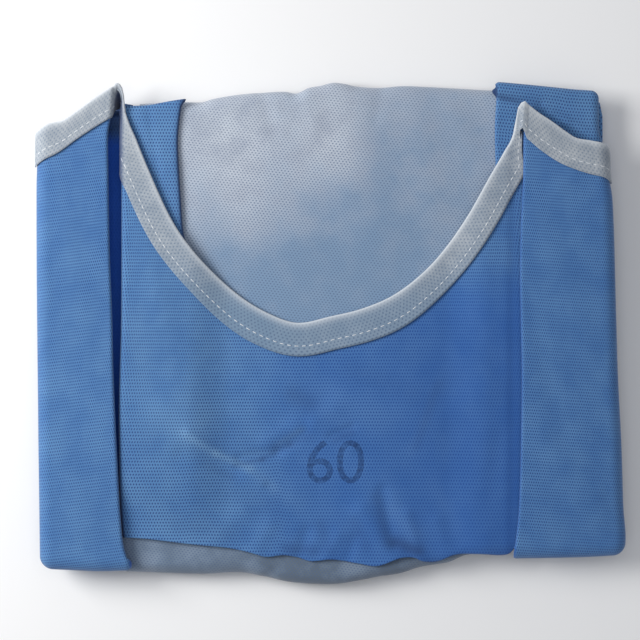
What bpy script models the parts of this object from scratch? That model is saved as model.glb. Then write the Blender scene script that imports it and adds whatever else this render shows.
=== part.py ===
"""A surgical gown, folded and lying flat.

Tables below are in millimetres: x to the right, y towards the neck, z up.
Each piece of cloth is an open grid on its own form, thickened downwards.
"""

import math

import bpy
import bmesh
import numpy as np
from mathutils import Vector

MM = 0.001
CLOTH = 1.2            # wall of one layer
SEAM_GAP = 0.3         # between pieces that touch
LIE = CLOTH + SEAM_GAP

# heights of the upper faces
CORE_TOP = 13.0
PALE_TOP = 14.5
SLEEVE_TOP = 17.8
FRONT_MIDDLE = 16.3
FRONT_SIDE = 20.2
FLAP_TOP = 23.2
STACK_TOP = 21.6
GROOVE_FLOOR = 7.5

# radius of the fold at each place
END_FOLD = 7.0
SIDE_FOLD = 8.0
SIDE_DROP = 6.5
GROOVE_FOLD = 3.0
SLEEVE_FOLD = 1.5
HEAD_ROLL = 6.0
TUCK = 4.0             # radius of the tuck under a fold

# neck binding
LIP_DROP = 2.3
LIP_OUT = 1.5
LIP_ROUND = 0.6

LEFT_FLAP_EDGE = {     # outer edge of the left back panel
    "y": (-137, -110, 0, 88, 102, 120),
    "x": (-169.3, -169.6, -170.2, -170.8, -169.3, -169.3),
}
LEFT_FLAP_FOLD = {     # its folded edge beside the groove
    "y": (-137, -124, -108, -78, -23, 8, 48, 106, 116, 125, 140),
    "x": (-115.8, -120, -121.8, -123.5, -126, -126.7, -128.2, -129.2, -129.0, -127.5, -126.4),
}
LEFT_FLAP_FOOT = {
    "x": (-172, -160, -147, -136, -114),
    "y": (-137.1, -137.6, -138.2, -138.6, -138.4),
}
LEFT_NECK = {          # neck edge of the left back panel
    "x": (-172, -163.7, -155.1, -147.1, -139.1, -131.1, -125.5),
    "y": (114.8, 119.9, 121.9, 127.3, 133.2, 138.6, 142.0),
}
RIGHT_FLAP_FOLD = {
    "y": (-130, -121, -102, -65, -23, 7, 36, 63, 90, 112, 134),
    "x": (105.5, 106.8, 108.7, 109.9, 110.4, 109.9, 109.4, 109.9, 111.2, 111.5, 112.2),
}
RIGHT_FLAP_EDGE = {
    "y": (-130, -120, -114, -102, -65, -23, 7, 80, 94, 112),
    "x": (170.5, 171.4, 171.2, 170.2, 169, 167, 166.1, 163.8, 161.8, 161.2),
}
RIGHT_FLAP_FOOT = {
    "x": (104, 134, 155, 172),
    "y": (-131.3, -130.8, -130.1, -128.9),
}
RIGHT_NECK = {
    "x": (112, 119.7, 127, 135.5, 141.6, 150.2, 158.7, 164),
    "y": (132.8, 126.6, 121.8, 115.6, 111.8, 110.2, 108.3, 104.6),
}
SCOOP = {              # neckline of the front panel, left to right
    "x": (-120.1, -119.9, -113.9, -106.5, -95.5, -85.8, -69.9, -51.6, -33.3, -18.7,
          0, 18.3, 36.7, 53.7, 67.2, 80.6, 92.8, 101.3, 106.8, 108.1),
    "y": (139.0, 127.8, 111.9, 93.7, 69.3, 53.4, 35, 19.1, 8.8, 4.8,
          8.6, 13.1, 21, 33.8, 48.5, 68, 89.9, 104.6, 115.6, 127.8),
}
FRONT_FOLD = {         # folded left edge of the front panel
    "y": (-120, -110, -78, -41, 8, 112, 128, 140),
    "x": (-117.5, -119.5, -122.2, -123.2, -122.2, -121.9, -121.6, -121.6),
}
FRONT_FOOT = {         # lower edge of the front panel
    "x": (-121, -106, -82, -60, -47, -38, -28, -19, -12, 0, 15, 27, 40, 48, 54, 62, 72, 86,
          103, 108, 113),
    "y": (-119, -120.1, -123, -125.3, -128, -130.5, -129.5, -131, -133, -132, -134.2, -135.8,
          -131.2, -130.8, -133.2, -133.2, -129.2, -128.6, -128.6, -123, -118),
}
PALE_FOOT = {          # outline of the lower end
    "x": (-135, -115, -76, -53, -40, -24, -6, 5, 17, 28, 41, 53, 69, 80, 110),
    "y": (-139.7, -140.2, -141.4, -140.5, -142.8, -146.2, -147.5, -147.2, -145.2, -143.1,
          -141, -137.3, -134.5, -130.2, -128.8),
}
PALE_HEAD = {          # outline of the upper end
    "x": (-120, -90, -76, -69, -55, -41, -27, -20, -13, -6, 1, 8, 15, 28, 42, 56, 77, 96, 120),
    "y": (133.6, 135.6, 135.2, 137.2, 139.6, 140.8, 141.4, 140.4, 143.6, 144.9, 146.6, 146,
          144.4, 143.7, 144.8, 144.3, 143.2, 142.1, 141.6),
}
LEFT_SLEEVE_EDGE = {   # folded inner edge of the left sleeve
    "y": (30, 53, 62, 83, 99, 111, 123, 134, 140),
    "x": (-84, -85, -86.3, -87.7, -88.6, -89, -88, -86.3, -85.6),
}
LEFT_SLEEVE_HEAD = {
    "x": (-119, -107, -94, -85),
    "y": (134, 134.4, 136.8, 138.2),
}
RIGHT_SLEEVE_EDGE = {
    "y": (60, 97, 120, 146),
    "x": (95.9, 95.8, 95.4, 97.0),
}
RIGHT_SLEEVE_SIDE = {
    "y": (84, 100, 109, 117, 130, 146),
    "x": (154, 156.5, 158.6, 156.4, 156.2, 156.0),
}
RIGHT_SLEEVE_HEAD = {
    "x": (95, 111, 129, 143, 157),
    "y": (146.5, 145.1, 143.3, 141.9, 141.1),
}
CORE_LOBES = (         # depth between the layers' edges, from the surface up
    # z, drawn in from the outline
    (0.0, 5.5), (0.8, 3.2), (2.1, 2.2), (3.4, 3.4), (4.1, 5.6), (4.9, 3.6), (6.4, 2.4),
    (7.9, 3.6), (8.6, 5.8), (9.4, 3.8), (10.8, 2.6), (12.0, 3.6), (12.7, 6.5),
)
SOFT_WAVES = (         # long undulations shared by every upper layer
    # height, along x, along y, turn
    (0.30, 0.031, 0.017, 0.4), (0.22, -0.022, 0.043, 1.9), (0.16, 0.057, 0.034, 3.1),
)
FRONT_CREASES = (      # ridges of the front panel: from, to, half width, height
    (-93, -45, -24, -92, 16, 0.9), (18, -104, 40, -136, 7, 0.9),
    (-34, -60, 8, -78, 9, 0.5), (48, -40, 82, -112, 12, 0.6), (-100, 20, -78, -60, 12, 0.5),
)


def smooth(t):
    """Eases from 0 to 1."""
    t = min(max(t, 0.0), 1.0)
    return t * t * (3 - 2 * t)


def along(table, across, value, at):
    """Reads a table's column at a place in its other column, on a smooth curve."""
    xs = table[across]
    ys = table[value]
    k = int(np.clip(np.searchsorted(xs, at) - 1, 0, len(xs) - 2))
    step = xs[k + 1] - xs[k]
    t = min(max((at - xs[k]) / step, 0.0), 1.0)

    def slope(i):
        low = max(i - 1, 0)
        high = min(i + 1, len(xs) - 1)
        return (ys[high] - ys[low]) / (xs[high] - xs[low])

    rise = ys[k + 1] - ys[k]
    bend = (t - 1) * (slope(k) * step - rise) * (t - 1) * t
    bend += t * t * (t - 1) * (slope(k + 1) * step - rise)
    return ys[k] + rise * t + bend


def edge_x(table, y):
    return along(table, "y", "x", y)


def edge_y(table, x):
    return along(table, "x", "y", x)


def undulation(x, y):
    """Never below zero, so layers that share it keep their distance."""
    total = 0.0
    for height, ax, ay, turn in SOFT_WAVES:
        total += height * (1 + math.sin(ax * x + ay * y + turn))
    return total


def crease(x, y):
    total = 0.0
    for x0, y0, x1, y1, half, height in FRONT_CREASES:
        dx = x1 - x0
        dy = y1 - y0
        length = dx * dx + dy * dy
        t = ((x - x0) * dx + (y - y0) * dy) / length
        nearest = min(max(t, 0.0), 1.0)
        far = math.hypot(x - x0 - nearest * dx, y - y0 - nearest * dy)
        total += height * math.exp(-((far / half) ** 2))
    return total


def flap_height(x, y):
    crown = 0.3 * math.sin(math.pi * min(max((abs(x) - 110) / 60, 0), 1))
    return FLAP_TOP + crown + undulation(x, y)


def fold_profile(far, radius, drop, tuck, lift=0.0):
    """How far out and down a cloth is at a length past the start of its fold."""
    quarter = 0.5 * math.pi * 0.5 * (radius + drop)
    if far <= quarter:
        turn = 0.5 * math.pi * far / quarter
        return (radius + lift) * math.sin(turn), drop - (drop + lift) * math.cos(turn)
    turn = (far - quarter) / tuck
    out = radius - tuck + (tuck + lift) * math.cos(turn)
    return out, drop + (tuck + lift) * math.sin(turn)


def make_collection(name):
    group = bpy.data.collections.new(name)
    bpy.context.scene.collection.children.link(group)
    return group


def make_material(name, colour, roughness):
    material = bpy.data.materials.new(name)
    material.use_nodes = True
    shader = material.node_tree.nodes["Principled BSDF"]
    shader.inputs["Base Color"].default_value = (*colour, 1.0)
    shader.inputs["Roughness"].default_value = roughness
    shader.inputs["Metallic"].default_value = 0.0
    return material


def finish_object(name, mesh_data, material):
    item = bpy.data.objects.new(name, mesh_data)
    item.data.materials.append(material)
    gown.objects.link(item)
    item.data.shade_smooth()
    return item


def sheet(name, grid, material):
    """A loft through rows of points, thickened under its outer face."""
    shape = bmesh.new()
    rows = [[shape.verts.new(Vector(point) * MM) for point in row] for row in grid]
    for low, high in zip(rows, rows[1:]):
        for k in range(len(low) - 1):
            shape.faces.new((low[k], low[k + 1], high[k + 1], high[k]))
    mesh_data = bpy.data.meshes.new(name)
    shape.to_mesh(mesh_data)
    shape.free()
    item = finish_object(name, mesh_data, material)
    wall = item.modifiers.new("cloth", "SOLIDIFY")
    wall.thickness = CLOTH * MM
    wall.offset = -1.0
    wall.use_even_offset = False
    return item


def overhangs(length, count):
    """Lengths past a fold's start, longest first, without zero."""
    return [length * (count - k) / count for k in range(count)]


def folded_point(panel, u, v, beside=0.0, below=0.0, lift=0.0, from_neck=None):
    """A point of a panel whose left, right and lower edges turn down.

    u runs between the side folds and v from the lower fold to the neck edge.
    beside and below are lengths past a fold, and from_neck replaces v.
    """
    side = panel["left_fold"] if beside < 0 or u < 0.5 else panel["right_fold"]
    end = panel["foot_fold"]
    y = 0.0
    x = 0.0
    for _ in range(5):
        x = panel["left"](y) + panel["left_fold"][0]
        x += u * (panel["right"](y) - panel["right_fold"][0] - x)
        low = panel["foot"](x) + end[0]
        y = low + v * (panel["neck"](x) - low)
        if from_neck is not None:
            y = panel["neck"](x) - from_neck
    z = panel["height"](x, y)
    far = max(abs(beside), below)
    if far <= 0:
        return Vector((x, y, z + lift))
    below_part = below * panel["foot_share"](x)
    span = max(math.hypot(beside, below_part), 1e-6)
    sx = beside / span
    sy = -below_part / span
    far = max(abs(beside), below_part)
    radius = math.hypot(side[0] * sx, end[0] * sy)
    drop = math.hypot(side[1] * sx, end[1] * sy)
    out, down = fold_profile(far, radius, drop, panel["tuck"], lift)
    outer_x = x + sx * out
    if below <= 0:
        share = v * v if from_neck is None else 1.0
        y += share * (panel["neck"](outer_x) - panel["neck"](x))
    return Vector((outer_x, y + sy * out, z - down))


def folded_grid(panel, columns, rows):
    """Rows of points over the whole of such a panel."""
    across = [(0.0, -far) for far in overhangs(*panel["left_fold"][2:])]
    across += [(k / columns, 0.0) for k in range(columns + 1)]
    across += [(1.0, far) for far in reversed(overhangs(*panel["right_fold"][2:]))]
    up = [(0.0, far) for far in overhangs(*panel["foot_fold"][2:])]
    up += [(k / rows, 0.0) for k in range(rows + 1)]
    return [[folded_point(panel, u, v, beside, below) for u, beside in across]
            for v, below in up]


def end_fold(x, y_in, b, lift, sign, top):
    """A point of a layer that goes over the end of the pile: b is its length inside."""
    if b >= 0:
        return x, y_in + sign * -b, top + lift
    radius = END_FOLD + lift
    quarter = 0.5 * math.pi * END_FOLD
    if -b <= quarter:
        turn = -b / END_FOLD
        return x, y_in + sign * radius * math.sin(turn), top - END_FOLD + radius * math.cos(turn)
    turn = (-b - quarter) / TUCK
    inner = TUCK + lift
    y = y_in + sign * (END_FOLD - TUCK + inner * math.cos(turn))
    return x, y, top - END_FOLD - inner * math.sin(turn)


for leftover in list(bpy.data.objects):
    bpy.data.objects.remove(leftover, do_unlink=True)

gown = make_collection("folded_surgical_gown")
blue = make_material("blue_nonwoven", (0.09, 0.22, 0.46), 0.85)
deep_blue = make_material("blue_nonwoven_hidden", (0.08, 0.19, 0.40), 0.88)
pale = make_material("pale_reinforcement", (0.46, 0.54, 0.64), 0.8)
tape = make_material("pale_binding", (0.55, 0.60, 0.66), 0.75)

# hidden layers, one rounded solid with the layers' edges round its side

LEFT_STEP = -134.0     # where the pile rises under the left back panel
RIGHT_STEP = 120.0     # and under the right one
STEP_RUN = 4.0
STEP_END = 8.0         # run of the step before the neck binding and the right sleeve
BINDING_ROOM = 16.0
SLEEVE_FOOT = 76.0
GROOVE_FROM = -136.0
GROOVE_TO = -114.0
GROOVE_SIDE = 3.0
PILE_FOOT_LIMIT = -140.0
PILE_HEAD_LIMIT = 142.0
GROOVE_RIGHT = -122.0  # the pile's upper end follows the back panel up to here
SLEEVE_LEFT = 112.0    # and the right sleeve from here
PILE_ROWS = 18
PILE_INSET = 9.0       # from the outline to the rim of the upper face
UPPER_INSET = 8.5      # how far the pile's upper edge stays in where the lining turns down
SIDE_RUN = 8.0
PILE_COLUMNS = (
    -160, -147, -140, -137, -134, -131, -121, -118, -115, -112, -95, -75, -50, -25, 0,
    25, 50, 75, 95, 110, 118, 121, 124, 130, 142, 152,
)
EDGE_WAVE = (0.35, 0.11, 0.07, 0.5)  # height, along x, along y, along z


def core_height(x, y):
    """Low in the middle and the groove, high under the back panels."""
    left = smooth((LEFT_STEP - x) / STEP_RUN)
    left *= smooth((edge_y(LEFT_NECK, x) - BINDING_ROOM - y) / STEP_END)
    right = smooth((x - RIGHT_STEP) / STEP_RUN) * smooth((SLEEVE_FOOT - y) / STEP_END)
    groove = smooth((x - GROOVE_FROM) / GROOVE_SIDE) * smooth((GROOVE_TO - x) / GROOVE_SIDE)
    top = CORE_TOP + (STACK_TOP + undulation(x, y) - CORE_TOP) * max(left, right)
    return top - (CORE_TOP - GROOVE_FLOOR) * groove


def pile_foot(x):
    return max(PILE_FOOT_LIMIT, edge_y(PALE_FOOT, x) + 1.0)


def pile_head(x):
    if x < GROOVE_RIGHT:
        return edge_y(LEFT_NECK, x) - 3.0
    if x > SLEEVE_LEFT:
        return min(edge_y(RIGHT_SLEEVE_HEAD, x) - 2.0, PILE_HEAD_LIMIT)
    return edge_y(PALE_HEAD, x) - 1.0


def outward(before, after):
    """The direction away from a closed line of points that runs anticlockwise."""
    dx = after[0] - before[0]
    dy = after[1] - before[1]
    length = math.hypot(dx, dy)
    return dy / length, -dx / length


def layer_edge(place, normal, z, drawn_in):
    """A point on the pile's side, at the edge of one of its folded layers."""
    x, y, _ = place
    side = max(smooth((-124 - x) / SIDE_RUN), smooth((x - 108) / SIDE_RUN))
    high = (1 - side) * smooth((z - 5.5) / 2)
    out = PILE_INSET - drawn_in * (1 - high) - UPPER_INSET * high
    height, along_x, along_y, along_z = EDGE_WAVE
    wave = height * math.sin(along_x * x + along_y * y + along_z * z) * smooth(z)
    return Vector((x + normal[0] * out, y + normal[1] * out, z + wave))


def build_core():
    shape = bmesh.new()
    grid = []
    for x in PILE_COLUMNS:
        low = pile_foot(x) + PILE_INSET
        high = pile_head(x) - PILE_INSET
        column = []
        for k in range(PILE_ROWS + 1):
            y = low + (high - low) * k / PILE_ROWS
            column.append((x, y, core_height(x, y)))
        grid.append(column)
    top = [[shape.verts.new(Vector(place) * MM) for place in column] for column in grid]
    for a, b in zip(top, top[1:]):
        for k in range(PILE_ROWS):
            shape.faces.new((a[k], b[k], b[k + 1], a[k + 1]))
    last = len(PILE_COLUMNS) - 1
    border = [(i, 0) for i in range(last + 1)]
    border += [(last, k) for k in range(1, PILE_ROWS + 1)]
    border += [(i, PILE_ROWS) for i in range(last - 1, -1, -1)]
    border += [(0, k) for k in range(PILE_ROWS - 1, 0, -1)]
    rim = [grid[i][k] for i, k in border]
    ring = [top[i][k] for i, k in border]
    size = len(rim)
    normals = [outward(rim[k - 1], rim[(k + 1) % size]) for k in range(size)]
    for z, drawn_in in reversed(CORE_LOBES):
        level = [
            shape.verts.new(layer_edge(place, normal, z, drawn_in) * MM)
            for place, normal in zip(rim, normals)
        ]
        for k in range(size):
            n = (k + 1) % size
            shape.faces.new((ring[k], level[k], level[n], ring[n]))
        ring = level
    shape.faces.new(list(reversed(ring)))
    mesh_data = bpy.data.meshes.new("folded_layers")
    bmesh.ops.recalc_face_normals(shape, faces=shape.faces[:])
    shape.to_mesh(mesh_data)
    shape.free()
    finish_object("folded_layers", mesh_data, deep_blue)


# pale reinforcement panel, over both ends of the pile

PALE_SIDE = -112.0     # its left edge, clear of the groove
SIDE_GAP = 1.2         # from its left edge to the back panel near the lower end
UNDER_FLAP = -84.0     # where the left edge starts towards the back panel
UNDER_RUN = 14.0
PALE_END = 135.0       # undulation stays as here past both ends
PALE_ROWS = 14
PALE_ARCS = (0.5 * math.pi * END_FOLD + 3.2, 11.0, 8.0, 5.2, 2.6)
PALE_COLUMNS = (
    -100, -88, -76, -69, -60, -50, -41, -32, -24, -17, -11, -5, 1, 8, 16,
    24, 33, 42, 52, 61, 70, 80, 90, 100,
)


def pale_head_start(x):
    return edge_y(PALE_HEAD, x) - END_FOLD


def pale_foot_start(x):
    return edge_y(PALE_FOOT, x) + END_FOLD


def pale_left(y):
    """Keeps clear of the groove, and reaches under the back panel near the lower end."""
    beside_flap = edge_x(LEFT_FLAP_FOLD, max(y, -137)) - SIDE_GAP
    return PALE_SIDE + (beside_flap - PALE_SIDE) * smooth((UNDER_FLAP - y) / UNDER_RUN)


def pale_stations(y):
    left = pale_left(y)
    return [left] + [x if x > -90 else 0.5 * (x + max(x, left + 10)) for x in PALE_COLUMNS]


def pale_height(x, y):
    return PALE_TOP + undulation(x, min(max(y, -PALE_END), PALE_END))


def build_reinforcement():
    grid = []
    for far in PALE_ARCS:
        grid.append([
            end_fold(x, pale_foot_start(x), -far, 0.0, -1, pale_height(x, -PALE_END))
            for x in pale_stations(-137)
        ])
    for k in range(PALE_ROWS + 1):
        row = []
        for x in pale_stations(-133 + 266 * k / PALE_ROWS):
            low = pale_foot_start(x)
            y = low + (pale_head_start(x) - low) * k / PALE_ROWS
            row.append((x, y, pale_height(x, y)))
        grid.append(row)
    for far in reversed(PALE_ARCS):
        grid.append([
            end_fold(x, pale_head_start(x), -far, 0.0, 1, pale_height(x, PALE_END))
            for x in pale_stations(PALE_END)
        ])
    sheet("reinforcement_panel", grid, pale)


# sleeves, folded down behind the scoop


LEFT_SLEEVE_ROWS = (36, 60, 84, 104, 120, 127, 131, 133.6)
UNDER_REACH = 14.0     # the sleeve's lower layer, measured from its fold
SLEEVE_END = -117.4    # where its upper layer ends, hidden by the front panel
SLEEVE_END_HIGH = -118.2
HEAD_EDGE = 4.0        # length that bends down at the sleeve's upper edge
RIGHT_SLEEVE_HEM = -84.0


def sleeve_section(x_edge, side, reach, height):
    """Points across a flattened sleeve: hidden layer, folded edge, upper layer."""
    radius = SLEEVE_FOLD
    points = [(x_edge + side * (radius + UNDER_REACH), height - 2 * radius)]
    for k in range(7):
        turn = math.pi * k / 6
        shift = side * radius * (1 - math.sin(turn))
        points.append((x_edge + shift, height - radius - radius * math.cos(turn)))
    points += [(x_edge + side * (radius + reach * k / 4), height) for k in (1, 2, 3, 4)]
    return points


def build_left_sleeve():
    grid = []
    head = edge_y(LEFT_SLEEVE_HEAD, -100)
    for y in LEFT_SLEEVE_ROWS:
        edge = edge_x(LEFT_SLEEVE_EDGE, y)
        reach = edge - (SLEEVE_END_HIGH if y > 105 else SLEEVE_END) - SLEEVE_FOLD
        line = []
        for x, z in sleeve_section(edge, -1, reach, SLEEVE_TOP):
            stretch = edge_y(LEFT_SLEEVE_HEAD, x) - head
            place_y = y + stretch * smooth((y - 84) / 48)
            near = max(0.0, place_y - (edge_y(LEFT_SLEEVE_HEAD, x) - HEAD_EDGE))
            drop = HEAD_ROLL - math.sqrt(HEAD_ROLL ** 2 - min(near, HEAD_EDGE) ** 2)
            line.append((x, place_y, z + undulation(x, place_y) - drop))
        grid.append(line)
    sheet("sleeve_left", [row[::-1] for row in grid], blue)


def build_right_sleeve():
    panel = {
        "left": lambda y: edge_x(RIGHT_SLEEVE_EDGE, -y),
        "right": lambda y: edge_x(RIGHT_SLEEVE_SIDE, -y),
        "foot": lambda x: -edge_y(RIGHT_SLEEVE_HEAD, x),
        "neck": lambda x: RIGHT_SLEEVE_HEM,
        "height": lambda x, y: SLEEVE_TOP + undulation(x, -y),
        "left_fold": (SLEEVE_FOLD, SLEEVE_FOLD, 3.6, 4),
        "right_fold": (5.0, 3.4, 6.4, 4),
        "foot_fold": (5.0, 3.4, 6.4, 4),
        "foot_share": lambda x: 1.0,
        "tuck": 2.6,
    }
    grid = folded_grid(panel, 8, 7)
    turned = [[(x, -y, z) for x, y, z in reversed(row)] for row in grid]
    sheet("sleeve_right", turned, blue)


# front panel


LEFT_FULL = -84.0      # the front panel lies high from here to its left edge
RIGHT_FULL = 92.0      # and from here to the right
RISE_RUN = 26.0
FRONT_START = -118.8
FRONT_END = 116.7      # hidden under the right back panel
FRONT_FOLDED = (9.5, 7.2, 4.7, 3.1, 1.6)
FRONT_COLUMNS = (
    0, 2.2, 5, 8.5, 13, 19, 26, 36, 47, 58, 68, 77, 86, 95, 104, 113, 122, 132, 142,
    152, 161, 170, 178, 186, 194, 202, 209, 215, 220, 224, 227.5, 230, 235.5,
)
NEAR_FOOT = (0, 1.6, 3.2, 4.8, 6.4, 8.4, 12)
FRONT_ROWS = 10


def front_height(x, y):
    left = smooth((LEFT_FULL + RISE_RUN - x) / RISE_RUN)
    left *= 1 - 0.8 * smooth((-80 - y) / 38)
    right = smooth((x - RIGHT_FULL + RISE_RUN) / RISE_RUN)
    dip = 0.6 * smooth((x - 101) / 5)
    base = FRONT_MIDDLE + (FRONT_SIDE - FRONT_MIDDLE) * max(left, right) - dip
    return base + undulation(x, y) + crease(x, y)


def front_point(a, x_fold, y, lift=0.0):
    """A point of the front panel, a being its place across with the fold laid out flat."""
    start = x_fold + GROOVE_FOLD
    if a >= start:
        return Vector((a, y, front_height(a, y) + lift))
    far = start - a
    quarter = 0.5 * math.pi * GROOVE_FOLD
    top = front_height(start, y)
    if far <= quarter:
        turn = far / GROOVE_FOLD
        radius = GROOVE_FOLD + lift
        return Vector((start - radius * math.sin(turn), y,
                       top - GROOVE_FOLD + radius * math.cos(turn)))
    return Vector((x_fold - lift, y, top - GROOVE_FOLD - (far - quarter)))


def front_over_end(point):
    """Lets the panel follow the fold at the lower end of the pile."""
    x, y, z = point
    start = pale_foot_start(min(max(x, -120), 100))
    if y >= start:
        return point
    rise = z - PALE_TOP - undulation(x, -135)
    radius = END_FOLD + rise
    turn = math.asin(min((start - y) / radius, 1.0))
    return Vector((x, y, z - radius * (1 - math.cos(turn))))


def front_left_share(y):
    """The folded edge goes less deep where the pale panel passes below it."""
    return 1 - 0.62 * smooth((-62 - y) / 40)


def build_front():
    grid = []
    for k in range(len(NEAR_FOOT) + FRONT_ROWS):
        row = []
        for distance in [-far for far in FRONT_FOLDED] + list(FRONT_COLUMNS):
            x = FRONT_START + max(distance, 0)
            head = edge_y(SCOOP, min(max(x, -117.3), 106.4))
            low = edge_y(FRONT_FOOT, x)
            if k < len(NEAR_FOOT):
                y = low + NEAR_FOOT[k]
            else:
                start = low + NEAR_FOOT[-1]
                y = start + (head - start) * (k - len(NEAR_FOOT) + 1) / FRONT_ROWS
            x_fold = edge_x(FRONT_FOLD, y)
            start = x_fold + GROOVE_FOLD
            if distance < 0:
                a = start + distance * front_left_share(y)
            else:
                a = start + distance * (FRONT_END - start) / FRONT_COLUMNS[-1]
            row.append(front_over_end(front_point(a, x_fold, y)))
        grid.append(row)
    sheet("front_panel", grid, blue)


# back panels, opened out over both sides

FLAP_COLUMNS = 7
FLAP_ROWS = 15
FOLDED_UNDER = 15.4    # length of cloth past the start of an outer fold
LEFT_FLAP = {
    "left": lambda y: edge_x(LEFT_FLAP_EDGE, y),
    "right": lambda y: edge_x(LEFT_FLAP_FOLD, y),
    "foot": lambda x: edge_y(LEFT_FLAP_FOOT, x),
    "neck": lambda x: edge_y(LEFT_NECK, x),
    "height": flap_height,
    "left_fold": (SIDE_FOLD, SIDE_DROP, FOLDED_UNDER, 7),
    "right_fold": (GROOVE_FOLD, GROOVE_FOLD, 11.5, 6),
    "foot_fold": (SIDE_FOLD, SIDE_DROP, FOLDED_UNDER, 7),
    "foot_share": lambda x: 1 - 0.4 * smooth((x + 138) / 12),
    "tuck": TUCK,
}
RIGHT_FLAP = {
    "left": lambda y: edge_x(RIGHT_FLAP_FOLD, y),
    "right": lambda y: edge_x(RIGHT_FLAP_EDGE, y),
    "foot": lambda x: edge_y(RIGHT_FLAP_FOOT, x),
    "neck": lambda x: edge_y(RIGHT_NECK, x),
    "height": flap_height,
    "left_fold": (1.6, 1.3, 2.6, 3),
    "right_fold": (SIDE_FOLD, SIDE_DROP, FOLDED_UNDER, 7),
    "foot_fold": (SIDE_FOLD, SIDE_DROP, FOLDED_UNDER, 7),
    "foot_share": lambda x: 1 - 0.3 * smooth((122 - x) / 12),
    "tuck": TUCK,
}


def build_flaps():
    sheet("back_panel_left", folded_grid(LEFT_FLAP, FLAP_COLUMNS, FLAP_ROWS), blue)
    sheet("back_panel_right", folded_grid(RIGHT_FLAP, FLAP_COLUMNS, FLAP_ROWS), blue)


# neck binding, one tape along all three panels and over both shoulder points

TAPE_ACROSS_FLAP = 16.3
TAPE_WIDE = 18.4
TAPE_NARROW = 15.8
TAPE_SHARES = (0.0, 0.25, 0.5, 0.75, 1.0)
SCOOP_STATIONS = 58
FLAP_STATIONS = 8
FOLD_EASE = 0.8        # more room where the tape goes over the front's folded edge
LEFT_POINT = (         # the tape at the left shoulder point
    # edge x, y, z, then inner side x, y, z
    (-124.4, 143.2, 25.0, -126.2, 131.0, 22.0),
    (-121.7, 142.0, 24.6, -124.3, 134.5, 17.0),
    (-120.3, 138.2, 23.4, -123.2, 134.6, 15.0),
)
RIGHT_POINT = (
    (107.8, 124.4, 22.8, 109.7, 112.6, 22.5),
    (108.6, 129.6, 23.6, 109.3, 115.4, 23.0),
    (110.2, 132.2, 24.8, 109.4, 117.4, 24.2),
    (112.0, 132.9, 25.9, 110.7, 118.4, 25.7),
)


def tape_section(points, out):
    """Adds the lip that goes round the cloth's raw edge."""
    edge = points[0]
    low = edge + out * LIP_OUT + Vector((0, 0, -LIP_DROP))
    high = edge + out * LIP_OUT + Vector((0, 0, -LIP_ROUND))
    corner = edge + out * (LIP_OUT - LIP_ROUND)
    return [low, high, corner] + points


def neckline_stations(count):
    """Places along the scoop at equal steps, with the way into the cloth at each."""
    fine = [(-120.0, 129.0)]
    for k in range(400):
        x = -119.9 + (107.9 + 119.9) * k / 399
        fine.append((x, edge_y(SCOOP, x)))
    lengths = [0.0]
    for a, b in zip(fine, fine[1:]):
        lengths.append(lengths[-1] + math.hypot(b[0] - a[0], b[1] - a[1]))
    stations = []
    for k in range(count):
        at = 1.0 + (lengths[-1] - 9.0) * k / (count - 1)
        places = []
        for shift in (-5.0, 0.0, 5.0):
            near = min(max(at + shift, 0.0), lengths[-1])
            places.append((np.interp(near, lengths, [p[0] for p in fine]),
                           np.interp(near, lengths, [p[1] for p in fine])))
        tx = places[2][0] - places[0][0]
        ty = places[2][1] - places[0][1]
        size = math.hypot(tx, ty)
        stations.append((places[1], (ty / size, -tx / size)))
    return stations


def point_section(row):
    edge = Vector(row[:3])
    inner = Vector(row[3:])
    points = [edge.lerp(inner, share) for share in TAPE_SHARES]
    out = (edge - inner).normalized()
    return tape_section(points, Vector((out.x, out.y, 0)).normalized())


def flap_section(panel, u, beside):
    points = [
        folded_point(panel, u, 1.0, beside, 0.0, LIE, TAPE_ACROSS_FLAP * share)
        for share in TAPE_SHARES
    ]
    out = points[0] - points[-1]
    return tape_section(points, Vector((out.x, out.y, 0)).normalized())


def front_section(place, inwards):
    """Across the tape on the front panel; it stops in the groove and at the back panel."""
    width = TAPE_NARROW + (TAPE_WIDE - TAPE_NARROW) * smooth((70 - abs(place[0] + 6)) / 40)
    if inwards[0] < 0:
        lowest = edge_x(FRONT_FOLD, place[1]) - 6.0
        width = min(width, (lowest - place[0]) / inwards[0])
    if inwards[0] > 0:
        furthest = edge_x(RIGHT_FLAP_FOLD, place[1] - 6) - 0.4
        width = min(width, (furthest - place[0]) / inwards[0])
    points = []
    for share in TAPE_SHARES:
        a = place[0] + inwards[0] * width * share
        y = place[1] + inwards[1] * width * share
        x_fold = edge_x(FRONT_FOLD, y)
        ease = FOLD_EASE * smooth((x_fold + GROOVE_FOLD + 4 - a) / 4)
        points.append(front_point(a, x_fold, y, LIE + ease))
    return tape_section(points, Vector((-inwards[0], -inwards[1], 0)))


def build_binding():
    grid = []
    for beside in (-12.5, -9.5, -6.5, -3.2):
        grid.append(flap_section(LEFT_FLAP, 0.0, beside))
    for k in range(FLAP_STATIONS + 1):
        grid.append(flap_section(LEFT_FLAP, k / FLAP_STATIONS, 0.0))
    grid.append(flap_section(LEFT_FLAP, 1.0, 1.6))
    grid += [point_section(row) for row in LEFT_POINT]
    grid += [front_section(*station) for station in neckline_stations(SCOOP_STATIONS)]
    grid += [point_section(row) for row in RIGHT_POINT]
    for k in range(FLAP_STATIONS + 1):
        grid.append(flap_section(RIGHT_FLAP, k / FLAP_STATIONS, 0.0))
    for beside in (3.2, 6.5, 9.5, 12.5):
        grid.append(flap_section(RIGHT_FLAP, 1.0, beside))
    sheet("neck_binding", [row[::-1] for row in grid], tape)


build_core()
build_reinforcement()
build_left_sleeve()
build_right_sleeve()
build_front()
build_flaps()
build_binding()
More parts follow.
